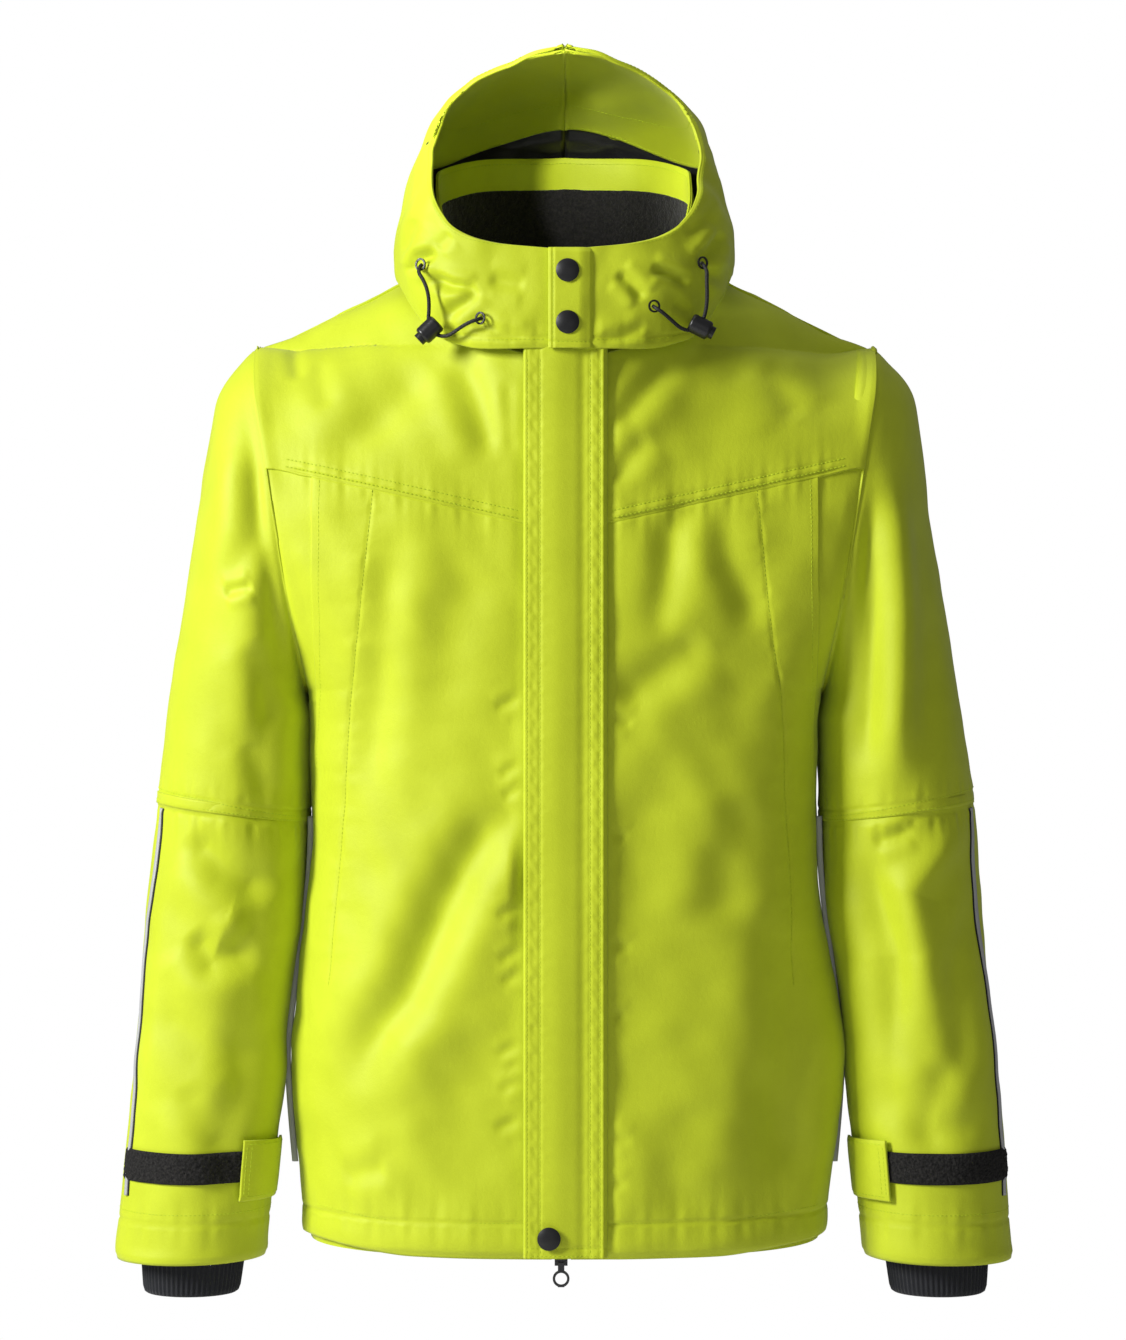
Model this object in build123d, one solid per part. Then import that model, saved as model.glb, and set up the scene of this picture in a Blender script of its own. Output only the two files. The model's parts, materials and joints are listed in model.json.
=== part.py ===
from build123d import *
import math
import os

# Foul weather jacket, hanging as worn, in millimetres.
# +X is the wearer's left, -Y is the front, +Z is up.
# The origin is the hang loop inside the back of the neck.

# ---- driving dimensions: body ----
FRONT_Y = -205.0
BACK_Y = 35.0
HEM_Z = -752.0
UNDERARM_Z = -310.0
SHOULDER_TIP = (248.0, -40.0)
SHOULDER_SLOPE = 0.5
NECK_HALF_WIDTH = 105.0
FRONT_NECK_Z = -55.0
BACK_NECK_Z = 0.0
RIDGE_DROP = 215.0
SURFACE_TOLERANCE = 0.6
ARMHOLE_HALF_DEPTH = 90.0
BODY_EXPONENT = 2.5
BODY_HALF_WIDTH = [(HEM_Z, 210), (-741, 212), (-610, 223), (-562, 219), (-456, 206), (-368, 205),
                   (UNDERARM_Z, 206), (-174, 222), (-100, 236), (SHOULDER_TIP[1], 248)]
YOKE_CENTRE_Z = -188.0
YOKE_SIDE_Z = -136.0
BACK_YOKE_Z = -150.0
WELT_ANGLE = [(HEM_Z, 81), (-450, 80), (-340, 72), (-240, 60), (YOKE_SIDE_Z, 52)]
BACK_SEAM_ANGLE = [(HEM_Z, 128), (-450, 112), (-335, 99), (UNDERARM_Z + 20, 91)]
SIDE_END_ANGLE = [(HEM_Z, 124.5), (-450, 108.4), (-335, 95), (UNDERARM_Z + 20, 87)]
NECK_EDGE = [(0, 0), (45, 0.1), (75, 0.34), (97, 0.78), (110, 0.98), (125, 1), (150, 1)]
NECK_FULLNESS = 45.0

# ---- driving dimensions: layers ----
FABRIC = 2.0
SEAM_GAP = 0.4
RIDGE_GAP = 1.6
LINING_LIFT = -11.0
HEM_TUNNEL = 28.0

# ---- driving dimensions: front closure ----
ZIP_X = -3.0
ZIP_TOP_Z = 16.0
ZIP_BOTTOM_Z = -746.0
ZIP_OPENING = 15.0
TOOTH_WIDTH = 2.7
TOOTH_DEPTH = 3.0
TAPE_WIDTH = 16.0
FLAP_LEFT_X = 31.0
FLAP_RIGHT_X = -32.0
FLAP_TOP_Z = -50.0
FLAP_BOTTOM_Z = -750.0
FLAP_Y = -212.0
FLAP_THICKNESS = 2.5
SNAP_RADIUS = 9.0
PULL_Y = FRONT_Y - 2.9
PULL_THICKNESS = 1.6

# ---- driving dimensions: sleeves ----
SLEEVE_OUTER = [(250, -41), (281, -86), (297, -172), (308, -250), (321, -336), (331, -404)]
SLEEVE_INNER = [(208.5, -312), (211, -404)]
UPPER_HALF_DEPTH = [(0, 90), (0.3, 86), (1, 72)]
UPPER_CENTRE_Y = [(0, -85), (1, -88)]
FOREARM_OUTER = [(331, -406), (338, -480), (346, -570), (352, -655), (362, -765)]
FOREARM_INNER = [(211, -406), (215, -485), (227, -570), (231, -655), (238, -763)]
LOWER_HALF_DEPTH = [(0, 72), (0.5, 64), (1, 56)]
LOWER_CENTRE_Y = [(0, -88), (1, -112)]
KNIT_BOTTOM_Z = -793.0
KNIT_TOP_Z = -700.0
KNIT_HALF_WIDTH = 37.0
KNIT_HALF_DEPTH = 31.0

# ---- driving dimensions: hood and collar ----
HOOD_FRONT_Y = -213.0
HOOD_HALF_WIDTH = [(-46, 108), (-20, 120), (5, 129), (25, 136), (50, 136), (75, 132), (100, 125), (120, 118),
                   (147, 108), (175, 87), (190, 60), (202, 14)]
HOOD_BACK = [(-46, 14), (0, 20), (25, 34), (50, 42), (75, 42), (100, 33), (125, 14), (150, -18), (175, -65),
             (190, -103), (202, -162)]
HOOD_FRONT = [(-46, HOOD_FRONT_Y), (30, HOOD_FRONT_Y), (80, HOOD_FRONT_Y), (202, -172)]
RIM_HALF_WIDTH = [(31, 4), (36, 52), (45, 80), (60, 96), (84, 105), (113, 107), (140, 104), (160, 94),
                  (178, 76), (190, 55), (202, 9)]
HOOD_EXPONENT = 3.0
HOOD_SPLIT_Z = 45.0
HOOD_BOTTOM_FRONT_Z = -46.0
HOOD_BOTTOM_SIDE_Z = 25.0
HOOD_TOP_Z = 201.0
CHIN_Z = 31.0
FACING_DEPTH_ANGLE = 26.0
COLLAR_HALF_WIDTH = 94.0
COLLAR_FRONT_Y = -196.0
COLLAR_BACK = [(-52, 9), (0, 7), (60, 2), (134, -9)]
COLLAR_FRONT_TOP_Z = 26.0
COLLAR_BACK_TOP_Z = 133.0
COLLAR_BAND = 27.0
UNDERLAP_END_X = 8.0
CHIN_FLAP_RIGHT_X = -13.0
CHIN_FLAP_LEFT_X = 24.0
CHIN_SNAP_Z = (14.0, -26.0)

# ---- driving dimensions: cords ----
CORD_DIAMETER = 3.0
CORD_LEFT = [(106.3, -193, 22.5), (110.5, -198.5, 17.5), (110, -201, 8), (110.5, -200, -3), (110, -198, -13),
             (107.5, -197, -23), (100, -198, -31), (90.5, -201, -30), (82.5, -206.5, -23.5), (75.5, -211.5, -18),
             (70, -211.8, -14.5), (68.4, -208.2, -13)]
CORD_RIGHT = [(-111.8, -187.5, 21.8), (-115.5, -192.5, 17), (-109.5, -198, 8), (-106, -200, -2.5),
              (-105.5, -199, -13.5), (-106.5, -198, -24), (-101.5, -198.5, -34), (-91.5, -201, -36),
              (-83, -206, -30.5), (-75, -211, -26), (-67.5, -212.2, -23.5), (-64.5, -208.6, -22.3)]
EYELET_RADIUS = 5.0
EYELET_BORE = 3.6
LOCK_RADIUS = 7.5
LOCK_LENGTH = 17.0
BUTTON_RADIUS = 5.0
BUTTON_TRAVEL = 3.0
LOCK_LEFT_DIRECTION = (0.89, 0.0, -0.45)
LOCK_RIGHT_DIRECTION = (-0.72, 0.0, -0.69)


def along(table, at):
    """Smooth value at one place of a short list of (place, value) pairs, in either order."""
    rows = sorted(table)
    at = min(max(at, rows[0][0]), rows[-1][0])
    index = 0
    while index < len(rows) - 2 and at > rows[index + 1][0]:
        index += 1
    (x0, y0), (x1, y1) = rows[index], rows[index + 1]
    before = rows[max(index - 1, 0)]
    after = rows[min(index + 2, len(rows) - 1)]
    slope0 = (y1 - before[1]) / (x1 - before[0])
    slope1 = (after[1] - y0) / (after[0] - x0)
    t = (at - x0) / (x1 - x0)
    h = x1 - x0
    return ((2 * t**3 - 3 * t**2 + 1) * y0 + (t**3 - 2 * t**2 + t) * h * slope0
            + (3 * t**2 - 2 * t**3) * y1 + (t**3 - t**2) * h * slope1)


def power(value, exponent):
    """Signed power, for superellipses."""
    return math.copysign(abs(value) ** exponent, value)


def skin(at, core, lift=0.0, thickness=FABRIC, rows=6, columns=6):
    """Closed solid between a surface lifted off at(p, q) and the surface one thickness below it."""
    step = 1e-3
    outer = []
    inner = []
    for i in range(columns + 1):
        outer_line = []
        inner_line = []
        for j in range(rows + 1):
            p = i / columns
            q = j / rows
            here = at(p, q)
            du = at(min(p + step, 1), q) - at(max(p - step, 0), q)
            dv = at(p, min(q + step, 1)) - at(p, max(q - step, 0))
            normal = du.cross(dv).normalized()
            if normal.dot(here - core(here)) < 0:
                normal = normal * -1
            outer_line.append(here + normal * lift)
            inner_line.append(here + normal * (lift - thickness))
        outer.append(outer_line)
        inner.append(inner_line)
    top = Face.make_surface_from_array_of_points(outer, tol=SURFACE_TOLERANCE)
    bottom = Face.make_surface_from_array_of_points(inner, tol=SURFACE_TOLERANCE)
    sides = []
    for edge in top.edges():
        below = min(bottom.edges(), key=lambda other: (other.center() - edge.center()).length)
        sides.append(Face.make_surface_from_curves(edge, below))
    return Solid(Shell([top, bottom] + sides))


def left_and_right(name, solid):
    """Write a wearer's-left piece and its mirror image."""
    export_step(solid, f"parts/{name}_left.step")
    export_step(mirror(solid, about=Plane.YZ), f"parts/{name}_right.step")


# ---- body surface ----

MID_Y = (FRONT_Y + BACK_Y) / 2
HALF_DEPTH = (BACK_Y - FRONT_Y) / 2


def ridge(x):
    """Height of the shoulder line."""
    return SHOULDER_TIP[1] + (SHOULDER_TIP[0] - abs(x)) * SHOULDER_SLOPE


def neckline(x, lowest):
    """Top edge of the body: the neck hole near the middle, the shoulder line outside it."""
    return lowest + (ridge(max(abs(x), NECK_HALF_WIDTH)) - lowest) * along(NECK_EDGE, min(abs(x), 150))


def lateral(angle):
    """Share of the half-width at an angle round the body, 0 at the front, 90 at the wearer's left."""
    return power(math.sin(math.radians(angle)), 2 / BODY_EXPONENT)


def body_angle(x, z):
    """Angle round the body at which the front surface has a given x."""
    return math.degrees(math.asin(power(x / along(BODY_HALF_WIDTH, z), BODY_EXPONENT / 2)))


def armhole_depth(z):
    """Half-depth of the armhole at a height."""
    middle = (UNDERARM_Z + SHOULDER_TIP[1]) / 2
    half = (SHOULDER_TIP[1] - UNDERARM_Z) / 2
    return ARMHOLE_HALF_DEPTH * math.sqrt(max(0.0, 1 - ((z - middle) / half) ** 2))


def body_point(angle, z):
    """Point of the body's outer surface."""
    x = lateral(angle) * along(BODY_HALF_WIDTH, z)
    facing_front = math.cos(math.radians(angle)) > 0
    crest = ridge(x)
    if facing_front and abs(x) < NECK_HALF_WIDTH:
        crest += NECK_FULLNESS * (1 - (x / NECK_HALF_WIDTH) ** 2) ** 2
    below_ridge = min(1.0, max(0.0, (crest - z) / RIDGE_DROP))
    rounding = math.sqrt(1 - (1 - below_ridge) ** 2)
    squareness = along([(HEM_Z, 0.4), (UNDERARM_Z, 0.4), (-230, 0.75), (0, 0.75)], z)
    share = abs(math.cos(math.radians(angle))) ** (2 * squareness)
    edge = armhole_depth(z)
    depth = edge + (HALF_DEPTH * rounding - edge) * share
    y = MID_Y - math.copysign(depth, math.cos(math.radians(angle)))
    return Vector(x, y, z)


def body_core(point):
    return Vector(point.X * 0.4, MID_Y, point.Z - 20)


def even(p):
    return p


def near_start(p):
    """Columns closer together at the start, where the neck hole turns the top edge."""
    return p ** 1.8


def near_middle(p):
    return 0.5 + 0.5 * power(2 * p - 1, 1.8)


def body_patch(start, end, low, high, lift=0.0, thickness=FABRIC, rows=6, columns=6, spread=even):
    """Piece of the body's skin between two angles (of z) and two heights (of x)."""
    def at(p, q):
        p = spread(p)
        nominal = low(120.0) + (high(120.0) - low(120.0)) * q
        angle = start(nominal) + (end(nominal) - start(nominal)) * p
        x = lateral(angle) * along(BODY_HALF_WIDTH, nominal)
        z = low(x) + (high(x) - low(x)) * q
        return body_point(angle, z)
    return skin(at, body_core, lift, thickness, rows, columns)


def yoke_line(x):
    share = min(1.0, abs(x) / 225.0)
    return YOKE_CENTRE_Z + (YOKE_SIDE_Z - YOKE_CENTRE_Z) * share


def welt(z):
    return along(WELT_ANGLE, z)


def back_seam(z):
    return along(BACK_SEAM_ANGLE, z)


def make_body_panels():
    half_opening = ZIP_OPENING / 2
    for side, name in ((1, "left"), (-1, "right")):
        edge = half_opening + side * ZIP_X
        front = body_patch(lambda z: body_angle(edge, z), lambda z: welt(z) - 0.2,
                           lambda x: HEM_Z, lambda x: yoke_line(x) - SEAM_GAP, rows=7)
        yoke = body_patch(lambda z: body_angle(edge, z), lambda z: 89.6,
                          yoke_line, lambda x: neckline(x, FRONT_NECK_Z) - RIDGE_GAP,
                           columns=12, spread=near_start)
        if side < 0:
            front = mirror(front, about=Plane.YZ)
            yoke = mirror(yoke, about=Plane.YZ)
        export_step(front, f"parts/front_panel_{name}.step")
        export_step(yoke, f"parts/front_yoke_{name}.step")
    side_panel = body_patch(lambda z: welt(z) + 1.2, lambda z: along(SIDE_END_ANGLE, z),
                            lambda x: HEM_Z, lambda x: yoke_line(x) - SEAM_GAP, rows=9, columns=5)
    left_and_right("side_panel", side_panel)
    back = body_patch(lambda z: back_seam(z), lambda z: 360 - back_seam(z),
                      lambda x: HEM_Z, lambda x: BACK_YOKE_Z - SEAM_GAP, rows=7, columns=10)
    export_step(back, "parts/back_panel.step")
    back_yoke = body_patch(lambda z: 91, lambda z: 269, lambda x: BACK_YOKE_Z,
                           lambda x: neckline(x, BACK_NECK_Z) - RIDGE_GAP, columns=20, spread=near_middle)
    export_step(back_yoke, "parts/back_yoke.step")


def make_body_inside():
    hem = []
    for start, end, columns in ((16, 80, 6), (82, 127, 5), (129, 231, 10), (233, 278, 5), (280, 344, 6)):
        hem.append(body_patch(lambda z: start, lambda z: end, lambda x: HEM_Z + 1, lambda x: HEM_Z + HEM_TUNNEL,
                              lift=-FABRIC - 2.8, thickness=1.6, rows=2, columns=columns))
    export_step(Compound(hem), "parts/hem_facing.step")
    lining = []
    for start, end in ((18, 84), (96, 264), (276, 342)):
        lining.append(body_patch(lambda z: start, lambda z: end, lambda x: HEM_Z + HEM_TUNNEL + 4,
                                 lambda x: -200, lift=LINING_LIFT, thickness=1.2, rows=5, columns=8))
    export_step(Compound(lining), "parts/body_lining.step")
    pocket = body_patch(lambda z: 30, lambda z: 62, lambda x: -560, lambda x: -380,
                        lift=-4.5, thickness=2.2, rows=3, columns=3)
    left_and_right("pocket_bag", pocket)
    piping = body_patch(lambda z: 87, lambda z: 91, lambda x: -690, lambda x: -415,
                        lift=2.8, thickness=1.3, rows=5, columns=2)
    left_and_right("body_piping", piping)


# ---- front closure ----

def make_zip():
    height = ZIP_TOP_Z - ZIP_BOTTOM_Z
    centre_z = (ZIP_TOP_Z + ZIP_BOTTOM_Z) / 2
    teeth = []
    tapes = []
    for side in (-1, 1):
        tooth_x = ZIP_X + side * (0.15 + TOOTH_WIDTH / 2)
        teeth.append(Pos(tooth_x, FRONT_Y + 2, centre_z) * Box(TOOTH_WIDTH, TOOTH_DEPTH, height))
        tape_x = ZIP_X + side * (0.15 + TAPE_WIDTH / 2)
        tapes.append(Pos(tape_x, FRONT_Y + 5.2, centre_z) * Box(TAPE_WIDTH, 1.2, height))
    export_step(Compound(teeth), "parts/zip_teeth.step")
    export_step(Compound(tapes), "parts/zip_tapes.step")
    wind_flap = Pos(ZIP_X, FRONT_Y + 13, (ZIP_BOTTOM_Z + FRONT_NECK_Z) / 2) * Box(36, 1.6, 676)
    export_step(wind_flap, "parts/inner_wind_flap.step")


def slider(z):
    """Zip slider: a front plate, cheeks clear of the teeth on each side, and a bridge for the pull."""
    front = Pos(ZIP_X, FRONT_Y - 0.7, z) * Box(10, 1.4, 12)
    cheek_left = Pos(ZIP_X + 4.3, FRONT_Y + 1.3, z) * Box(1.4, 3.4, 12)
    cheek_right = Pos(ZIP_X - 4.3, FRONT_Y + 1.3, z) * Box(1.4, 3.4, 12)
    bridge = Pos(ZIP_X, FRONT_Y - 2.2, z) * Box(2.2, 1.8, 5)
    return front + cheek_left + cheek_right + bridge


def make_sliders():
    for name, z, tab in (("lower", ZIP_BOTTOM_Z - 4, 19.0), ("upper", ZIP_TOP_Z - 8, 24.0)):
        export_step(slider(z), f"parts/{name}_slider.step")
        top = z - 3.2
        plate = Pos(ZIP_X, PULL_Y, top - tab / 2) * Box(5, PULL_THICKNESS, tab)
        ring_place = Pos(ZIP_X, PULL_Y, top - tab + 6.5) * Rot(90, 0, 0)
        ring = ring_place * extrude(Ellipse(6.5, 6.5), PULL_THICKNESS / 2, both=True)
        hole = ring_place * extrude(Ellipse(4.6, 4.6), 4, both=True)
        export_step(plate + ring - hole, f"parts/{name}_pull.step")


def make_flaps():
    width = FLAP_LEFT_X - FLAP_RIGHT_X
    centre_x = (FLAP_LEFT_X + FLAP_RIGHT_X) / 2
    height = FLAP_TOP_Z - FLAP_BOTTOM_Z
    flap = Pos(centre_x, FLAP_Y - FLAP_THICKNESS / 2, (FLAP_TOP_Z + FLAP_BOTTOM_Z) / 2)
    storm = flap * Box(width, FLAP_THICKNESS, height)
    export_step(storm, "parts/storm_flap.step")
    export_step(snap_cap(-12.4, FLAP_Y - FLAP_THICKNESS, -734), "parts/hem_snap_cap.step")
    chin_width = CHIN_FLAP_LEFT_X - CHIN_FLAP_RIGHT_X
    chin_height = CHIN_Z - HOOD_BOTTOM_FRONT_Z
    chin_y = HOOD_FRONT_Y - 3.0
    place = Pos((CHIN_FLAP_LEFT_X + CHIN_FLAP_RIGHT_X) / 2, chin_y - 1, (CHIN_Z + HOOD_BOTTOM_FRONT_Z) / 2)
    export_step(place * Box(chin_width, 2, chin_height), "parts/chin_flap.step")
    caps = [snap_cap(2.0, chin_y - 2, z) for z in CHIN_SNAP_Z]
    export_step(Compound(caps), "parts/chin_snap_caps.step")
    studs = [Pos(-20, FRONT_Y - 1.0, -734) * Rot(90, 0, 0) * Cylinder(4.5, 1.8)]
    studs += [Pos(2, HOOD_FRONT_Y - 2.1, z) * Rot(90, 0, 0) * Cylinder(4.5, 1.4) for z in CHIN_SNAP_Z]
    export_step(Compound(studs), "parts/snap_studs.step")


def snap_cap(x, y, z):
    """Domed press-stud cap standing on a surface that faces the front."""
    dome = Sphere(SNAP_RADIUS * 2.2)
    depth = SNAP_RADIUS * 2.2 - 2.6
    cap = Pos(0, 0, -depth) * dome
    cap &= Cylinder(SNAP_RADIUS, 6, align=(Align.CENTER, Align.CENTER, Align.MIN))
    return Pos(x, y, z) * Rot(90, 0, 0) * cap


# ---- sleeves ----

def path_point(points, s):
    """Point a share s of the way down a list of silhouette points."""
    spread = [(i / (len(points) - 1), point) for i, point in enumerate(points)]
    return (along([(t, p[0]) for t, p in spread], s), along([(t, p[1]) for t, p in spread], s))


def upper_point(angle, s):
    """Upper sleeve surface: angle 0 outside, 90 front, 180 at the body."""
    outside = path_point(SLEEVE_OUTER, s)
    inside = path_point(SLEEVE_INNER, s)
    return sleeve_section(outside, inside, along(UPPER_HALF_DEPTH, s), along(UPPER_CENTRE_Y, s), angle)


def lower_point(angle, s):
    outside = path_point(FOREARM_OUTER, s)
    inside = path_point(FOREARM_INNER, s)
    return sleeve_section(outside, inside, along(LOWER_HALF_DEPTH, s), along(LOWER_CENTRE_Y, s), angle)


def sleeve_section(outside, inside, half_depth, centre_y, angle):
    radians = math.radians(angle)
    across = math.cos(radians)
    x = (outside[0] + inside[0]) / 2 + (outside[0] - inside[0]) / 2 * across
    z = (outside[1] + inside[1]) / 2 + (outside[1] - inside[1]) / 2 * across
    return Vector(x, centre_y - half_depth * math.sin(radians), z)


def sleeve_core(surface):
    """Centre of the sleeve at the height of a surface point."""
    def core(point):
        top = surface(0, 0)
        bottom = surface(0, 1)
        s = min(1.0, max(0.0, (top.Z - point.Z) / (top.Z - bottom.Z)))
        return (surface(0, s) + surface(180, s)) * 0.5
    return core


def sleeve_patch(surface, start, end, top, bottom, lift=0.0, thickness=FABRIC, rows=5, columns=6):
    def at(p, q):
        return surface(start + (end - start) * p, top + (bottom - top) * q)
    return skin(at, sleeve_core(surface), lift, thickness, rows, columns)


def make_sleeves():
    upper = [sleeve_patch(upper_point, 0.3, 179.7, 0, 1), sleeve_patch(upper_point, 180.3, 359.7, 0, 1)]
    left_and_right("upper_sleeve", Compound(upper))
    lower = [sleeve_patch(lower_point, 0.3, 179.7, 0, 1), sleeve_patch(lower_point, 180.3, 359.7, 0, 1)]
    left_and_right("lower_sleeve", Compound(lower))
    left_and_right("sleeve_piping", sleeve_patch(lower_point, 14, 20, 0.01, 0.88, lift=1.6, thickness=1.3,
                                                 columns=3))
    left_and_right("cuff_loop_tape", sleeve_patch(lower_point, 24, 150, 0.80, 0.856, lift=2.4, thickness=1.5,
                                                  rows=3))
    left_and_right("cuff_hook_pad", sleeve_patch(lower_point, 134, 158, 0.80, 0.856, lift=4.3, thickness=1.3,
                                                 rows=3, columns=4))
    left_and_right("cuff_tab", sleeve_patch(lower_point, 128, 176, 0.79, 0.89, lift=6.8, thickness=1.8,
                                            rows=4, columns=8))
    left_and_right("knit_cuff", knit_cuff())


def knit_cuff():
    """Knitted tube that comes out of the sleeve, tapering to the wrist."""
    centre = (lower_point(0, 1) + lower_point(180, 1)) * 0.5
    top = Plane((centre.X - 4, centre.Y, KNIT_TOP_Z))
    bottom = Plane((centre.X, centre.Y, KNIT_BOTTOM_Z))
    outer = loft([bottom * Ellipse(KNIT_HALF_WIDTH, KNIT_HALF_DEPTH), top * Ellipse(46, 42)])
    inner = loft([bottom * Ellipse(KNIT_HALF_WIDTH - 3, KNIT_HALF_DEPTH - 3), top * Ellipse(43, 39)])
    return outer - inner


# ---- hood and collar ----

def hood_point(angle, z):
    """Hood surface: angle 0 at the back, 90 at the wearer's left, 180 at the front."""
    half_width = along(HOOD_HALF_WIDTH, z)
    back = along(HOOD_BACK, z)
    front = along(HOOD_FRONT, z)
    radians = math.radians(angle)
    exponent = HOOD_EXPONENT if math.cos(radians) < 0 else 2.2
    x = half_width * power(math.sin(radians), 2 / exponent)
    y = (back + front) / 2 + (back - front) / 2 * power(math.cos(radians), 2 / exponent)
    return Vector(x, y, z)


def rim_angle(z):
    """Angle at which the hood's face opening cuts the surface at a height."""
    share = min(0.999, along(RIM_HALF_WIDTH, z) / along(HOOD_HALF_WIDTH, z))
    return 180 - math.degrees(math.asin(share ** (HOOD_EXPONENT / 2)))


def hood_core(point):
    return Vector(0, -110, point.Z - 25)


def hood_patch(start, end, low, high, lift=0.0, thickness=FABRIC, rows=6, columns=7):
    """Piece of hood between two angles (of z) and two heights (of the angle)."""
    def at(p, q):
        nominal = low(0.0) + (high(0.0) - low(0.0)) * q
        angle = start(nominal) + (end(nominal) - start(nominal)) * p
        return hood_point(angle, low(angle) + (high(angle) - low(angle)) * q)
    return skin(at, hood_core, lift, thickness, rows, columns)


def hood_bottom(angle):
    """Lower edge of the hood neck: low in front, resting on the shoulders at the sides."""
    turn = 180 - abs(180 - angle)
    return along([(0, 8), (60, 14), (90, HOOD_BOTTOM_SIDE_Z), (125, 2), (150, -30),
                  (180, HOOD_BOTTOM_FRONT_Z)], turn)


def hood_neck_top(angle):
    """Upper edge of the hood neck: level at the back and sides, dipping to the chin."""
    turn = 180 - abs(180 - angle)
    return along([(0, HOOD_SPLIT_Z), (120, HOOD_SPLIT_Z), (140, HOOD_SPLIT_Z - 1), (165, 35), (180, CHIN_Z)],
                 turn) - 1.0


def make_hood():
    crown = hood_patch(lambda z: 0.3, lambda z: rim_angle(z), lambda a: HOOD_SPLIT_Z + 1,
                       lambda a: HOOD_TOP_Z, rows=10, columns=7)
    left_and_right("hood_crown", crown)
    lining = []
    facing = []
    for side in (1, -1):
        shape = hood_patch(lambda z: 0.6, lambda z: rim_angle(z) - FACING_DEPTH_ANGLE,
                           lambda a: HOOD_SPLIT_Z + 3, lambda a: 150, lift=-7.0, thickness=1.0)
        lining.append(shape if side > 0 else mirror(shape, about=Plane.YZ))
        edge = hood_patch(lambda z: max(0.6, rim_angle(z) - FACING_DEPTH_ANGLE + 1), lambda z: rim_angle(z) - 1,
                          lambda a: HOOD_SPLIT_Z + 3, lambda a: 182, lift=-4.6, thickness=1.2, rows=10, columns=4)
        facing.append(edge if side > 0 else mirror(edge, about=Plane.YZ))
    export_step(Compound(lining), "parts/hood_lining.step")
    export_step(Compound(facing), "parts/hood_facing.step")


def neck_end(x):
    """Angle at which the hood neck's front stops beside the zip."""
    half_width = along(HOOD_HALF_WIDTH, 0)
    return 180 - math.degrees(math.asin((x / half_width) ** (HOOD_EXPONENT / 2)))


def make_hood_neck():
    for side, name in ((1, "left"), (-1, "right")):
        end = neck_end(UNDERLAP_END_X + 2) if side > 0 else 360 - neck_end(UNDERLAP_END_X)
        neck = hood_patch(lambda z: 0.3, lambda z: end, hood_bottom, hood_neck_top, rows=3, columns=9)
        if side < 0:
            neck = mirror(neck, about=Plane.YZ)
        export_step(neck, f"parts/hood_neck_{name}.step")


def collar_point(angle, z):
    back = along(COLLAR_BACK, z)
    radians = math.radians(angle)
    x = COLLAR_HALF_WIDTH * math.sin(radians)
    y = (back + COLLAR_FRONT_Y) / 2 + (back - COLLAR_FRONT_Y) / 2 * math.cos(radians)
    return Vector(x, y, z)


def collar_top(angle):
    share = (1 + math.cos(math.radians(angle))) / 2
    return COLLAR_FRONT_TOP_Z + (COLLAR_BACK_TOP_Z - COLLAR_FRONT_TOP_Z) * share ** 0.7


def collar_bottom(angle):
    return along([(0, 6), (90, 30), (180, -50), (270, 30), (360, 6)], angle)


def collar_patch(low, high, lift, thickness):
    def at(p, q):
        angle = -172 + 344 * p
        low_z = low(abs(angle))
        return collar_point(angle, low_z + (high(abs(angle)) - low_z) * q)
    return skin(at, lambda point: Vector(0, -95, point.Z), lift, thickness, rows=3, columns=14)


def make_collar():
    export_step(collar_patch(collar_bottom, collar_top, 0, FABRIC), "parts/collar_shell.step")
    fleece = collar_patch(collar_bottom, lambda a: collar_top(a) - COLLAR_BAND - 1, -FABRIC - 0.4, 2.6)
    export_step(fleece, "parts/collar_fleece.step")
    band = collar_patch(lambda a: collar_top(a) - COLLAR_BAND, lambda a: collar_top(a) - 1, -FABRIC - 0.4, 1.6)
    export_step(band, "parts/collar_band.step")
    loop = Ellipse(32, 14) - Ellipse(30.4, 12.4)
    loop &= Pos(0, -10) * Rectangle(80, 18)
    export_step(Pos(0, 0, -4) * extrude(loop, 8), "parts/hang_loop.step")


# ---- drawcords ----

def cord_line(route):
    """Straight runs joined by arcs as large as the runs allow."""
    radii = []
    for before, here, after in zip(route, route[1:], route[2:]):
        first = Vector(*here) - Vector(*before)
        second = Vector(*after) - Vector(*here)
        turn = first.get_angle(second)
        radii.append(0.45 * min(first.length, second.length) / math.tan(math.radians(turn / 2)))
    print("cord radii", [round(radius, 1) for radius in radii])
    return FilletPolyline(*route, radius=radii)


def tube(line, diameter):
    profile = Plane(line @ 0, z_dir=line % 0) * Circle(diameter / 2)
    return sweep(profile, path=line)


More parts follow.
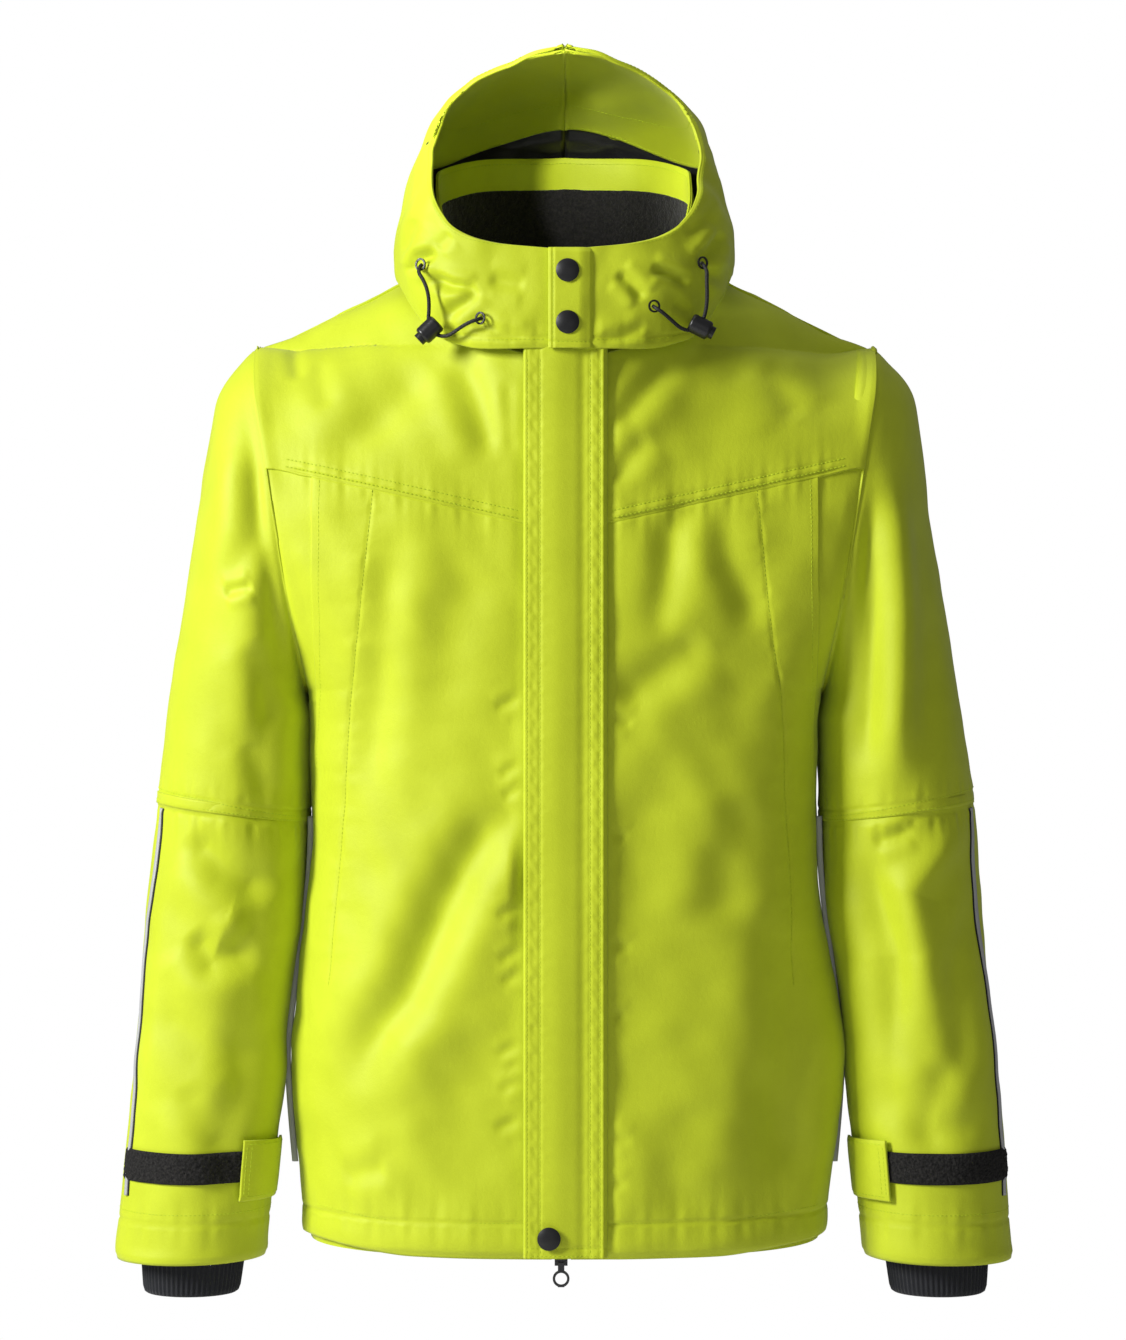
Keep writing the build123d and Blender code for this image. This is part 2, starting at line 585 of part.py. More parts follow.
def make_cords():
    eyelets = []
    for name, route, direction in (("left", CORD_LEFT, LOCK_LEFT_DIRECTION),
                                   ("right", CORD_RIGHT, LOCK_RIGHT_DIRECTION)):
        line = cord_line(route)
        cord = tube(line, CORD_DIAMETER)
        area = math.pi * CORD_DIAMETER**2 / 4
        print(f"cord {name}: length {line.length:.1f}, volume share {cord.volume / (area * line.length):.3f}")
        export_step(cord, f"parts/drawcord_{name}.step")
        middle = (Vector(*route[5]) + Vector(*route[6])) * 0.5
        lock_plane = Plane(middle + Vector(*direction) * 1.5, z_dir=direction)
        body = lock_plane * fillet(Cylinder(LOCK_RADIUS, LOCK_LENGTH).edges(), 2.4)
        well = Cylinder(BUTTON_RADIUS + 0.4, 7, align=(Align.CENTER, Align.CENTER, Align.MAX))
        well_plane = Plane(lock_plane.origin + lock_plane.z_dir * (LOCK_LENGTH / 2), z_dir=direction)
        lock = body - well_plane * well - tube(line, CORD_DIAMETER + 0.8)
        export_step(lock, f"parts/cord_lock_{name}.step")
        button = Cylinder(BUTTON_RADIUS, 7, align=(Align.CENTER, Align.CENTER, Align.MIN))
        place = Plane(well_plane.origin - well_plane.z_dir * (7 - BUTTON_TRAVEL - 0.4), z_dir=direction)
        export_step(place * button, f"parts/cord_button_{name}.step")
        for start, after in ((route[0], route[1]), (route[-1], route[-2])):
            outward = (Vector(*after) - Vector(*start)).normalized()
            outward = Vector(outward.X, outward.Y, 0).normalized()
            ring = Cylinder(EYELET_RADIUS, 1.2) - Cylinder(EYELET_BORE, 2)
            eyelets.append(Plane(Vector(*start) + outward * 1.6, z_dir=outward) * ring)
    export_step(Compound(eyelets), "parts/eyelets.step")


def main():
    os.makedirs("parts", exist_ok=True)
    make_body_panels()
    make_body_inside()
    make_zip()
    make_sliders()
    make_flaps()
    make_sleeves()
    make_hood()
    make_hood_neck()
    make_collar()
    make_cords()


main()
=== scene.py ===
import json
import math

import bpy
import numpy as np
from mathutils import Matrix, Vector


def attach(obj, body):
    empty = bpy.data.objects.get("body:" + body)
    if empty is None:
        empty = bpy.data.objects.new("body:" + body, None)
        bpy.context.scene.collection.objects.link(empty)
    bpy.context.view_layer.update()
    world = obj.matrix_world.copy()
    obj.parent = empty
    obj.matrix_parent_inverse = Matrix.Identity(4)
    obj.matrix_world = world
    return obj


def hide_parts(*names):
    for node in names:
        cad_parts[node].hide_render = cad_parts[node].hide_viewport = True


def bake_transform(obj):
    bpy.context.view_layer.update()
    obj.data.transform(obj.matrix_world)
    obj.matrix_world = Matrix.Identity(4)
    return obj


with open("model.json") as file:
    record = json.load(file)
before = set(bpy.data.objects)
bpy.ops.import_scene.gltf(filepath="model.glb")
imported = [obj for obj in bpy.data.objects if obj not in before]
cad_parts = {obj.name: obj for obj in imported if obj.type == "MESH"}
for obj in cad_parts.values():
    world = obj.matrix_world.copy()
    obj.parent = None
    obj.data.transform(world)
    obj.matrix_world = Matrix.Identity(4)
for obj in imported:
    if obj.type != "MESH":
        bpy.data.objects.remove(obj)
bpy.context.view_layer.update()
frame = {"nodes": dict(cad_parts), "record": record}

# ---------------------------------------------------------------- camera, first
scene = bpy.context.scene
camera_data = bpy.data.cameras.new("camera")
camera = bpy.data.objects.new("camera", camera_data)
scene.collection.objects.link(camera)
camera.location = (-0.00155, -2.705, -0.2945)
camera.rotation_euler = (math.pi / 2, 0, 0)
camera_data.sensor_fit = "VERTICAL"
camera_data.sensor_height = 36.0
camera_data.lens = 86.66
camera_data.clip_end = 50
scene.camera = camera
scene.view_settings.view_transform = "Standard"


# ---------------------------------------------------------------- materials
def new_material(name):
    mat = bpy.data.materials.new(name)
    mat.use_nodes = True
    nodes = mat.node_tree.nodes
    return mat, nodes, mat.node_tree.links, nodes["Principled BSDF"]


def texture(nodes, kind, coords, links, **values):
    node = nodes.new(kind)
    links.new(coords.outputs["Object"], node.inputs["Vector"])
    for key, value in values.items():
        node.inputs[key].default_value = value
    return node


def fabric(name, dark, light, roughness=0.7, grain=1500.0, grain_strength=0.25, cloud=9.0, sheen=0.0,
           specular=0.3, slub=260.0, slub_strength=0.1, spread=(0.35, 0.65)):
    """Woven cloth: soft colour clouds, a fine weave grain and coarser slubs in the yarn."""
    mat, nodes, links, shader = new_material(name)
    coords = nodes.new("ShaderNodeTexCoord")
    clouds = texture(nodes, "ShaderNodeTexNoise", coords, links, Scale=cloud, Detail=4.0, Roughness=0.6)
    weave = texture(nodes, "ShaderNodeTexNoise", coords, links, Scale=grain, Detail=2.0, Roughness=0.6)
    yarn = texture(nodes, "ShaderNodeTexNoise", coords, links, Scale=slub, Detail=3.0, Roughness=0.6)
    mix = nodes.new("ShaderNodeMath")
    mix.operation = "MULTIPLY_ADD"
    links.new(weave.outputs["Fac"], mix.inputs[0])
    mix.inputs[1].default_value = 0.45
    links.new(clouds.outputs["Fac"], mix.inputs[2])
    ramp = nodes.new("ShaderNodeValToRGB")
    ramp.color_ramp.elements[0].position = spread[0] + 0.2
    ramp.color_ramp.elements[0].color = (*dark, 1)
    ramp.color_ramp.elements[1].position = spread[1] + 0.3
    ramp.color_ramp.elements[1].color = (*light, 1)
    links.new(mix.outputs[0], ramp.inputs[0])
    links.new(ramp.outputs[0], shader.inputs["Base Color"])
    bump = nodes.new("ShaderNodeBump")
    bump.inputs["Strength"].default_value = grain_strength
    bump.inputs["Distance"].default_value = 0.0006
    links.new(weave.outputs["Fac"], bump.inputs["Height"])
    coarse = nodes.new("ShaderNodeBump")
    coarse.inputs["Strength"].default_value = slub_strength
    coarse.inputs["Distance"].default_value = 0.002
    links.new(yarn.outputs["Fac"], coarse.inputs["Height"])
    links.new(bump.outputs[0], coarse.inputs["Normal"])
    links.new(coarse.outputs[0], shader.inputs["Normal"])
    shader.inputs["Roughness"].default_value = roughness
    shader.inputs["Specular IOR Level"].default_value = specular
    shader.inputs["Sheen Weight"].default_value = sheen
    return mat


LIME_DARK = (0.515, 0.605, 0.010)
LIME_LIGHT = (0.605, 0.705, 0.018)
LIME = fabric("shell_fabric", LIME_DARK, LIME_LIGHT, roughness=0.58, specular=0.38, sheen=0.10)
THREAD = fabric("thread", (0.44, 0.56, 0.012), (0.62, 0.76, 0.03), roughness=0.5, grain=4000,
                grain_strength=0.4)
SATIN = fabric("lining_satin", (0.010, 0.010, 0.011), (0.022, 0.021, 0.024), roughness=0.32, specular=0.5,
               grain_strength=0.1)
FLEECE = fabric("fleece", (0.004, 0.004, 0.004), (0.020, 0.018, 0.017), roughness=0.95, grain=700,
                grain_strength=1.0, slub=220, slub_strength=0.7, sheen=0.25, cloud=400)
KNIT = fabric("knit_rib", (0.010, 0.011, 0.014), (0.024, 0.025, 0.030), roughness=0.9, grain=900,
              grain_strength=0.7, sheen=0.1)
LOOPS = fabric("hook_loop", (0.004, 0.004, 0.004), (0.030, 0.028, 0.026), roughness=0.9, grain=620,
               grain_strength=1.0, slub=420, slub_strength=1.0, cloud=500)
REFLECT = fabric("reflective", (0.40, 0.405, 0.42), (0.48, 0.485, 0.50), roughness=0.38,
                 specular=0.6, cloud=30,
                 grain=2500)
SNAP = fabric("snap_black", (0.007, 0.007, 0.008), (0.013, 0.013, 0.014), roughness=0.42, specular=0.45,
              grain_strength=0.1, slub_strength=0.03)
TAPE = fabric("zip_tape", (0.012, 0.012, 0.013), (0.03, 0.03, 0.032), roughness=0.8, grain=1800)
METAL = fabric("zip_metal", (0.05, 0.05, 0.052), (0.09, 0.09, 0.095), roughness=0.3, specular=0.7,
               grain_strength=0.12)
METAL.node_tree.nodes["Principled BSDF"].inputs["Metallic"].default_value = 0.9
PLASTIC = fabric("lock_plastic", (0.008, 0.008, 0.009), (0.016, 0.016, 0.017), roughness=0.35, specular=0.5,
                 grain_strength=0.15)


def braid(name):
    """Braided cord: crossing diagonal yarns along the curve."""
    mat, nodes, links, shader = new_material(name)
    coords = nodes.new("ShaderNodeTexCoord")
    waves = []
    for direction in ("DIAGONAL", "Z"):
        wave = texture(nodes, "ShaderNodeTexWave", coords, links, Scale=260.0, Distortion=1.0)
        wave.bands_direction = direction
        waves.append(wave)
    both = nodes.new("ShaderNodeMath")
    both.operation = "MULTIPLY"
    links.new(waves[0].outputs["Fac"], both.inputs[0])
    links.new(waves[1].outputs["Fac"], both.inputs[1])
    ramp = nodes.new("ShaderNodeValToRGB")
    ramp.color_ramp.elements[0].color = (0.004, 0.004, 0.004, 1)
    ramp.color_ramp.elements[1].color = (0.030, 0.030, 0.032, 1)
    links.new(both.outputs[0], ramp.inputs[0])
    links.new(ramp.outputs[0], shader.inputs["Base Color"])
    bump = nodes.new("ShaderNodeBump")
    bump.inputs["Strength"].default_value = 0.6
    bump.inputs["Distance"].default_value = 0.0006
    links.new(both.outputs[0], bump.inputs["Height"])
    links.new(bump.outputs[0], shader.inputs["Normal"])
    shader.inputs["Roughness"].default_value = 0.6
    return mat


CORD = braid("cord")

# ---------------------------------------------------------------- cords
CORD_LEFT = [(106.3, -193, 22.5), (110.5, -198.5, 17.5), (110, -201, 8), (110.5, -200, -3), (110, -198, -13),
             (107.5, -197, -23), (100, -198, -31), (90.5, -201, -30), (82.5, -206.5, -23.5),
             (75.5, -211.5, -18),
             (70, -211.8, -14.5), (68.4, -208.2, -13)]
CORD_RIGHT = [(-111.8, -187.5, 21.8), (-115.5, -192.5, 17), (-109.5, -198, 8), (-106, -200, -2.5),
              (-105.5, -199, -13.5), (-106.5, -198, -24), (-101.5, -198.5, -34), (-91.5, -201, -36),
              (-83, -206, -30.5), (-75, -211, -26), (-67.5, -212.2, -23.5), (-64.5, -208.6, -22.3)]
for side, route, length in (("left", CORD_LEFT, 0.1015), ("right", CORD_RIGHT, 0.1064)):
    curve = bpy.data.curves.new("drawcord_curve_" + side, "CURVE")
    curve.dimensions = "3D"
    spline = curve.splines.new("NURBS")
    spline.points.add(len(route) - 1)
    for point, (x, y, z) in zip(spline.points, route):
        point.co = (x / 1000, y / 1000, z / 1000, 1)
    spline.order_u = 3
    spline.use_endpoint_u = True
    spline.resolution_u = 12
    curve.bevel_depth = 0.0015
    curve.bevel_resolution = 4
    curve.use_fill_caps = True
    cord = bpy.data.objects.new("drawcord_visual_" + side, curve)
    scene.collection.objects.link(cord)
    curve.materials.append(CORD)
    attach(cord, "torso")
    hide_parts("drawcord_" + side)

# ---------------------------------------------------------------- dimensions, as in the CAD, in millimetres
FRONT_Y, BACK_Y, HEM_Z, UNDERARM_Z = -205.0, 35.0, -752.0, -310.0
SHOULDER_TIP, SHOULDER_SLOPE = (248.0, -40.0), 0.5
NECK_HALF_WIDTH, FRONT_NECK_Z, BACK_NECK_Z, RIDGE_DROP = 105.0, -55.0, 0.0, 215.0
ARMHOLE_HALF_DEPTH, BODY_EXPONENT = 90.0, 2.5
ARMHOLE_OUTWARD = (0.988, 0, -0.151)
ELBOW_Z, FOREARM_LENGTH = -405, 359.0
BODY_HALF_WIDTH = [(HEM_Z, 210), (-741, 212), (-610, 223), (-562, 219), (-456, 206), (-368, 205),
                   (UNDERARM_Z, 208.5), (-240, 219.5), (-174, 229.5), (-100, 241), (SHOULDER_TIP[1], 250)]
YOKE_CENTRE_Z, YOKE_SIDE_Z, BACK_YOKE_Z = -188.0, -136.0, -150.0
WELT_ANGLE = [(HEM_Z, 81), (-450, 80), (-340, 72), (-240, 60), (YOKE_SIDE_Z, 52)]
BACK_SEAM_ANGLE = [(HEM_Z, 128), (-450, 112), (-335, 99), (UNDERARM_Z + 20, 91)]
NECK_EDGE = [(0, 0), (45, 0.1), (75, 0.34), (97, 0.78), (110, 0.98), (125, 1), (150, 1)]
NECK_FULLNESS = 45.0
HEM_TUNNEL = 28.0
FLAP_TOP_Z, FLAP_BOTTOM_Z = -50.0, -750.0
FLAP_STITCH_X = (-29.4, -19.4, 19.4, 27.0)
SLEEVE_OUTER = [(250, -41), (281, -86), (297, -172), (308, -250), (321, -336), (331, -404)]
SLEEVE_INNER = [(208.5, -312), (211, -404)]
UPPER_HALF_DEPTH = [(0, 90), (0.3, 86), (1, 72)]
UPPER_CENTRE_Y = [(0, -85), (1, -88)]
FOREARM_OUTER = [(331, -406), (338, -480), (346, -570), (352, -655), (362, -765)]
FOREARM_INNER = [(211, -406), (215, -485), (227, -570), (231, -655), (238, -763)]
LOWER_HALF_DEPTH = [(0, 72), (0.5, 64), (1, 56)]
LOWER_CENTRE_Y = [(0, -88), (1, -112)]
HOOD_FRONT_Y = -213.0
HOOD_HALF_WIDTH = [(-46, 108), (-20, 120), (5, 129), (25, 136), (50, 136), (75, 132), (100, 125), (120, 118),
                   (147, 105), (175, 79), (190, 54.5), (199, 26), (203, 2)]
HOOD_BACK = [(-46, 14), (0, 20), (25, 34), (50, 42), (75, 42), (100, 33), (125, 14), (150, -18), (175, -65),
             (190, -103), (203, -168)]
HOOD_FRONT = [(-46, HOOD_FRONT_Y), (30, HOOD_FRONT_Y), (80, HOOD_FRONT_Y), (203, -172)]
RIM_HALF_WIDTH = [(31, 4), (36, 52), (45, 80), (60, 96), (84, 105), (113, 107), (140, 102), (160, 91),
                  (178, 72.5), (190, 51.5), (198, 25), (203, 0.2)]
HOOD_BOTTOM_FRONT_Z, HOOD_BOTTOM_SIDE_Z, CHIN_Z = -46.0, 25.0, 31.0
COLLAR_HALF_WIDTH, COLLAR_FRONT_Y = 103.0, -196.0
COLLAR_BACK = [(-52, 9), (0, 7), (60, 2), (134, -9)]


def along(table, at):
    """Smooth values of a short list of (place, value) pairs, as in the CAD, for an array of places."""
    rows = sorted(table)
    xs = np.array([r[0] for r in rows], float)
    ys = np.array([r[1] for r in rows], float)
    at = np.clip(np.asarray(at, float), xs[0], xs[-1])
    i = np.clip(np.searchsorted(xs, at, side="left") - 1, 0, len(xs) - 2)
    before = np.maximum(i - 1, 0)
    after = np.minimum(i + 2, len(xs) - 1)
    h = xs[i + 1] - xs[i]
    slope0 = (ys[i + 1] - ys[before]) / (xs[i + 1] - xs[before])
    slope1 = (ys[after] - ys[i]) / (xs[after] - xs[i])
    t = (at - xs[i]) / h
    return ((2 * t**3 - 3 * t**2 + 1) * ys[i] + (t**3 - 2 * t**2 + t) * h * slope0
            + (3 * t**2 - 2 * t**3) * ys[i + 1] + (t**3 - t**2) * h * slope1)


def power(value, exponent):
    return np.sign(value) * np.abs(value) ** exponent


def smooth(low, high, value):
    t = np.clip((value - low) / (high - low), 0, 1)
    return t * t * (3 - 2 * t)


def stack(x, y, z):
    return np.stack(np.broadcast_arrays(x, y, z), axis=-1).astype(float)


# ---------------------------------------------------------------- base surfaces
MID_Y, HALF_DEPTH = (FRONT_Y + BACK_Y) / 2, (BACK_Y - FRONT_Y) / 2


def ridge(x):
    return SHOULDER_TIP[1] + (SHOULDER_TIP[0] - np.abs(x)) * SHOULDER_SLOPE


def neckline(x, lowest):
    x = np.abs(x)
    return lowest + (ridge(np.maximum(x, NECK_HALF_WIDTH)) - lowest) * along(NECK_EDGE, np.minimum(x, 150))


def lateral(angle):
    return power(np.sin(np.radians(angle)), 2 / BODY_EXPONENT)


def front_angle(x, z):
    """Angle round the body at which its front has a given x."""
    return np.degrees(np.arcsin(np.clip(power(x / along(BODY_HALF_WIDTH, z), BODY_EXPONENT / 2), -1, 1)))


def body_point(angle, z):
    x = lateral(angle) * along(BODY_HALF_WIDTH, z)
    cosine = np.cos(np.radians(angle))
    crest = ridge(x) + np.where((cosine > 0) & (np.abs(x) < NECK_HALF_WIDTH),
                                NECK_FULLNESS * np.clip(1 - (x / NECK_HALF_WIDTH) ** 2, 0, 1) ** 2, 0)
    below = np.clip((crest - z) / RIDGE_DROP, 0, 1)
    rounding = np.sqrt(1 - (1 - below) ** 2)
    share = np.abs(cosine) ** (0.8 + 0.7 * smooth(-400, -190, z))
    middle, half = (UNDERARM_Z + SHOULDER_TIP[1]) / 2, (SHOULDER_TIP[1] - UNDERARM_Z) / 2
    edge = ARMHOLE_HALF_DEPTH * np.sqrt(np.clip(1 - ((z - middle) / half) ** 2, 0, 1))
    soft = np.where(z > middle, edge, ARMHOLE_HALF_DEPTH * smooth(-430, -200, z))
    at_side = (1 - share) ** 4
    edge = edge * at_side + soft * (1 - at_side)
    depth = edge + (HALF_DEPTH * rounding - edge) * share
    return stack(x, MID_Y - np.sign(cosine) * depth, z)


def section(outside, inside, half_depth, centre_y, angle):
    across = np.cos(np.radians(angle))
    x = (outside[0] + inside[0]) / 2 + (outside[0] - inside[0]) / 2 * across
    z = (outside[1] + inside[1]) / 2 + (outside[1] - inside[1]) / 2 * across
    return stack(x, centre_y - half_depth * np.sin(np.radians(angle)), z)


def path_point(points, s):
    places = np.linspace(0, 1, len(points))
    return tuple(along(list(zip(places, [p[k] for p in points])), s) for k in (0, 1))


def upper_point(angle, s):
    return section(path_point(SLEEVE_OUTER, s), path_point(SLEEVE_INNER, s), along(UPPER_HALF_DEPTH, s),
                   along(UPPER_CENTRE_Y, s), angle)


def lower_point(angle, s):
    return section(path_point(FOREARM_OUTER, s), path_point(FOREARM_INNER, s), along(LOWER_HALF_DEPTH, s),
                   along(LOWER_CENTRE_Y, s), angle)


def upper_cloth(angle, s):
    """Upper sleeve surface, carried on a little way inside the armhole."""
    inward = np.minimum(s, 0)[..., None] * np.array(ARMHOLE_OUTWARD) * 300
    return elbow_slant(upper_point(angle, np.maximum(s, 0)), angle) + inward


def lower_cloth(angle, s):
    """Lower sleeve surface, carried on a little way up under the upper sleeve."""
    past = s - np.clip(s, 0, 1)
    inside = elbow_slant(lower_point(angle, np.clip(s, 0, 1)), angle)
    return inside + past[..., None] * np.array([0, 0, -FOREARM_LENGTH])


def elbow_slant(points, angle):
    """The elbow seam runs lower towards the body."""
    z = points[..., 2]
    drop = 3 - 15 * (1 - np.cos(np.radians(angle))) / 2
    points[..., 2] = z + drop * np.exp(-((z - ELBOW_Z) / 70) ** 2)
    return points


def elbow_height(x):
    """Height of the elbow seam at a distance from the middle of the jacket."""
    return ELBOW_Z + 3 - 15 * np.clip((331 - np.abs(x)) / 120, 0, 1)


def hood_point(angle, z):
    raised = z - 6.5 * smooth(150, 203, z)
    half_width, back, front = along(HOOD_HALF_WIDTH, z), along(HOOD_BACK, z), along(HOOD_FRONT, z)
    cosine = np.cos(np.radians(angle))
    exponent = np.where(cosine < 0, 3.0, 2.2)
    x = half_width * power(np.sin(np.radians(angle)), 2 / exponent)
    y = (back + front) / 2 + (back - front) / 2 * power(cosine, 2 / exponent)
    return stack(x, y, raised)


def rim_angle(z):
    share = np.clip(along(RIM_HALF_WIDTH, z) / along(HOOD_HALF_WIDTH, z), 0, 0.999)
    return 180 - np.degrees(np.arcsin(share ** 1.5))


def hood_bottom(angle):
    return along([(0, 8), (60, 14), (90, HOOD_BOTTOM_SIDE_Z), (101, 8), (112, -16), (125, -33), (140, -42),
                  (152, -45.5), (180, HOOD_BOTTOM_FRONT_Z)], 180 - np.abs(180 - angle))


def collar_point(angle, z):
    back = along(COLLAR_BACK, z)
    radians = np.radians(angle)
    return stack(COLLAR_HALF_WIDTH * np.sin(radians),
                 (back + COLLAR_FRONT_Y) / 2 + (back - COLLAR_FRONT_Y) / 2 * np.cos(radians), z)


# ---------------------------------------------------------------- folds
def waves(points, seed, wavelength, count=18):
    """Smooth wandering field of about unit size."""
    local = np.random.default_rng(seed)
    total = np.zeros(points.shape[:-1])
    for _ in range(count):
        direction = local.normal(size=3)
        direction /= np.linalg.norm(direction)
        k = 2 * math.pi / (wavelength * local.uniform(0.7, 1.6))
        total += np.sin(points @ direction * k + local.uniform(0, 6.3))
    return total / math.sqrt(count / 2)


def crease(x, z, path, depth, width, crest=0.45, skew=0.0, taper=0.25):
    """Valley along a path of (x, z) with rounded crests each side; a negative depth makes a ridge."""
    path = np.array(path, float)
    lengths = np.linalg.norm(np.diff(path, axis=0), axis=1)
    starts = np.concatenate([[0], np.cumsum(lengths)])
    best = np.full(x.shape, 1e9)
    side = np.zeros(x.shape)
    place = np.zeros(x.shape)
    for (ax, az), (bx, bz), length, start in zip(path, path[1:], lengths, starts):
        ux, uz = (bx - ax) / length, (bz - az) / length
        t = (x - ax) * ux + (z - az) * uz
        clipped = np.clip(t, 0, length)
        dx, dz = x - ax - clipped * ux, z - az - clipped * uz
        distance = np.hypot(dx, dz)
        closer = distance < best
        best = np.where(closer, distance, best)
        side = np.where(closer, np.sign(ux * (z - az) - uz * (x - ax)), side)
        place = np.where(closer, (start + clipped) / starts[-1], place)
    d = best * side / width
    d = d * np.where(d * skew > 0, 1.6, 1.0)
    envelope = smooth(0, taper, place + 0.02) * smooth(0, taper, 1.02 - place)
    valley = -np.exp(-d**2) + crest * (np.exp(-((d - 1.9) / 1.2) ** 2) + np.exp(-((d + 1.9) / 1.2) ** 2))
    return depth * envelope * valley


FRONT_FOLDS = [
    # (path, depth, width)
    ([(-106, -58), (-146, -98), (-186, -136)], 4.2, 17), ([(-86, -48), (-70, -84), (-54, -132)], 4.2, 12),
    ([(-44, -66), (-40, -130)], 1.8, 6),
    ([(-217, -37), (-210, -68)], 1.8, 6), ([(-196, -50), (-185, -92)], 1.4, 8),
    ([(-30, -390), (-61, -422), (-80, -451), (-95, -481), (-110, -518), (-125, -551),
      (-144, -573), (-172, -632)],
     9.5, 17), ([(-176, -694), (-138, -682)], 2.6, 9), ([(-60, -215), (-86, -262), (-96, -330)], 2.2, 20),
    ([(-134, -176), (-142, -280), (-158, -400)], 3.4, 14), ([(-60, -560), (-86, -640), (-80, -720)], 2.6, 22),
    ([(-150, -660), (-110, -700), (-84, -716)], 2.2, 14),
    ([(88, -46), (62, -78), (38, -106)], 3.4, 10), ([(66, -112), (34, -150)], 2.6, 9),
    ([(101, -158), (84, -190), (72, -276)], 4.0, 12), ([(117, -156), (131, -214), (154, -266)], 3.6, 13),
    ([(112, -270), (76, -296), (38, -320)], 4.5, 15), ([(158, -50), (184, -100)], 2.0, 12),
    ([(172, -470), (178, -560), (170, -715)], 6.5, 24), ([(96, -360), (60, -420), (46, -500)], 2.4, 24),
    ([(46, -590), (80, -650), (86, -730)], 2.4, 20), ([(150, -395), (128, -440), (120, -500)], 2.8, 18),
]
for level, reach in ((-315, 22), (-368, 18), (-386, 16), (-477, 20), (-512, 18), (-530, 16), (-585, 20),
                     (-599, 14), (-613, 18), (-642, 22)):
    FRONT_FOLDS.append(([(-33, level), (-33 - reach, level - reach * 0.45)], 1.5, 4.5))
for level, reach in ((-330, 20), (-420, 16), (-505, 18), (-560, 14), (-655, 18), (-690, 14)):
    FRONT_FOLDS.append(([(33, level), (33 + reach, level - reach * 0.35)], 1.2, 5))
BACK_FOLDS = [([(-60, -40), (-90, -140)], 3, 16), ([(60, -45), (95, -150)], 3, 16),
              ([(0, -40), (6, -130)], 2, 18),
              ([(-120, -260), (-90, -420), (-110, -600)], 5, 26),
              ([(110, -240), (80, -400), (105, -610)], 5, 26),
              ([(10, -300), (-6, -460), (12, -640)], 4, 30),
              ([(-190, -330), (-130, -380), (-60, -400)], 4, 18),
              ([(190, -330), (130, -385), (66, -405)], 4, 18), ([(-60, -640), (-30, -730)], 3, 18),
              ([(150, -560), (140, -720)], 4, 22), ([(-150, -580), (-140, -725)], 4, 22)]
SLEEVE_FOLDS_RIGHT = [  # wearer's right, viewer's left
    ([(-238, -84), (-232, -150), (-226, -220), (-216, -330)], 6.0, 13),
    ([(-236, -120), (-246, -190), (-268, -238)], 4.5, 12), ([(-268, -234), (-244, -228)], 3.2, 4.5),
    ([(-246, -268), (-228, -345)], 4.5, 12),
    ([(-302, -424), (-268, -452), (-232, -474)], 7.5, 15),
    ([(-296, -500), (-278, -524), (-244, -514)], 6.5, 13),
    ([(-330, -560), (-286, -590), (-240, -600)], 3.0, 16), ([(-300, -620), (-270, -680)], 3.0, 14),
    ([(-322, -460), (-330, -560), (-334, -640)], -2.5, 14),
    ([(-236, -560), (-262, -640), (-270, -720)], 3.0, 13),
    ([(-250, -350), (-236, -396)], 2.0, 9)]
SLEEVE_FOLDS_LEFT = [  # wearer's left, viewer's right
    ([(259, -130), (264, -240), (262, -392)], -5.5, 14), ([(236, -150), (240, -260), (236, -380)], 5.0, 11),
    ([(284, -150), (290, -260), (286, -380)], 2.5, 14), ([(322, -412), (272, -470), (282, -560)], -5.0, 14),
    ([(232, -440), (262, -520), (256, -600)], 5.0, 13), ([(330, -470), (312, -540), (316, -620)], 3.5, 12),
    ([(240, -620), (292, -660), (340, -650)], 3.0, 14), ([(276, -420), (242, -432)], 3.0, 6),
    ([(300, -600), (280, -680)], 2.5, 12)]
SLEEVE_BACK = [([(240, -120), (262, -240), (250, -380)], 5, 16), ([(300, -140), (290, -260)], 4, 16),
               ([(320, -390), (270, -420), (230, -410)], 5, 12),
               ([(330, -440), (280, -470), (236, -460)], 5, 13),
               ([(300, -540), (276, -640), (290, -720)], 4, 15)]


def seam(distance, along_seam, seed, groove=0.7, pucker=0.7, reach=9.0, groove_width=1.5, pitch=15.0):
    """Stitched-down line with the little gathers the thread pulls up beside it."""
    local = np.random.default_rng(seed)
    phase = (np.sin(along_seam / pitch * 2 * math.pi + local.uniform(0, 6))
             + 0.8 * np.sin(along_seam / (pitch * 1.7) * 2 * math.pi + local.uniform(0, 6))
             + 0.6 * np.sin(along_seam / (pitch * 0.61) * 2 * math.pi + local.uniform(0, 6)))
    return (-groove * np.exp(-(distance / groove_width) ** 2)
            + pucker * phase * 0.5 * np.exp(-np.abs(distance) / reach) * (1 - np.exp(-(distance / 3.0) ** 2)))


def yoke_line(x):
    return YOKE_CENTRE_Z + (YOKE_SIDE_Z - YOKE_CENTRE_Z) * np.minimum(1.0, np.abs(x) / 225.0)


WELT_INNER = [(-560, 186), (-529, 184), (-481, 180), (-447, 177), (-424, 175), (-322, 169.5), (-282, 164),
              (-242, 159), (-150, 149)]


def shoulder_fullness(points, normals):
    """Extra roundness over the point of the shoulder, shared by the yoke and the sleeve head."""
    x, z = np.abs(points[..., 0]), points[..., 2]
    return (6.5 * smooth(200, 250, x) * smooth(330, 268, x) * np.exp(-((z + 52) / 48) ** 2)
            * smooth(-0.1, 0.5, normals[..., 2]))


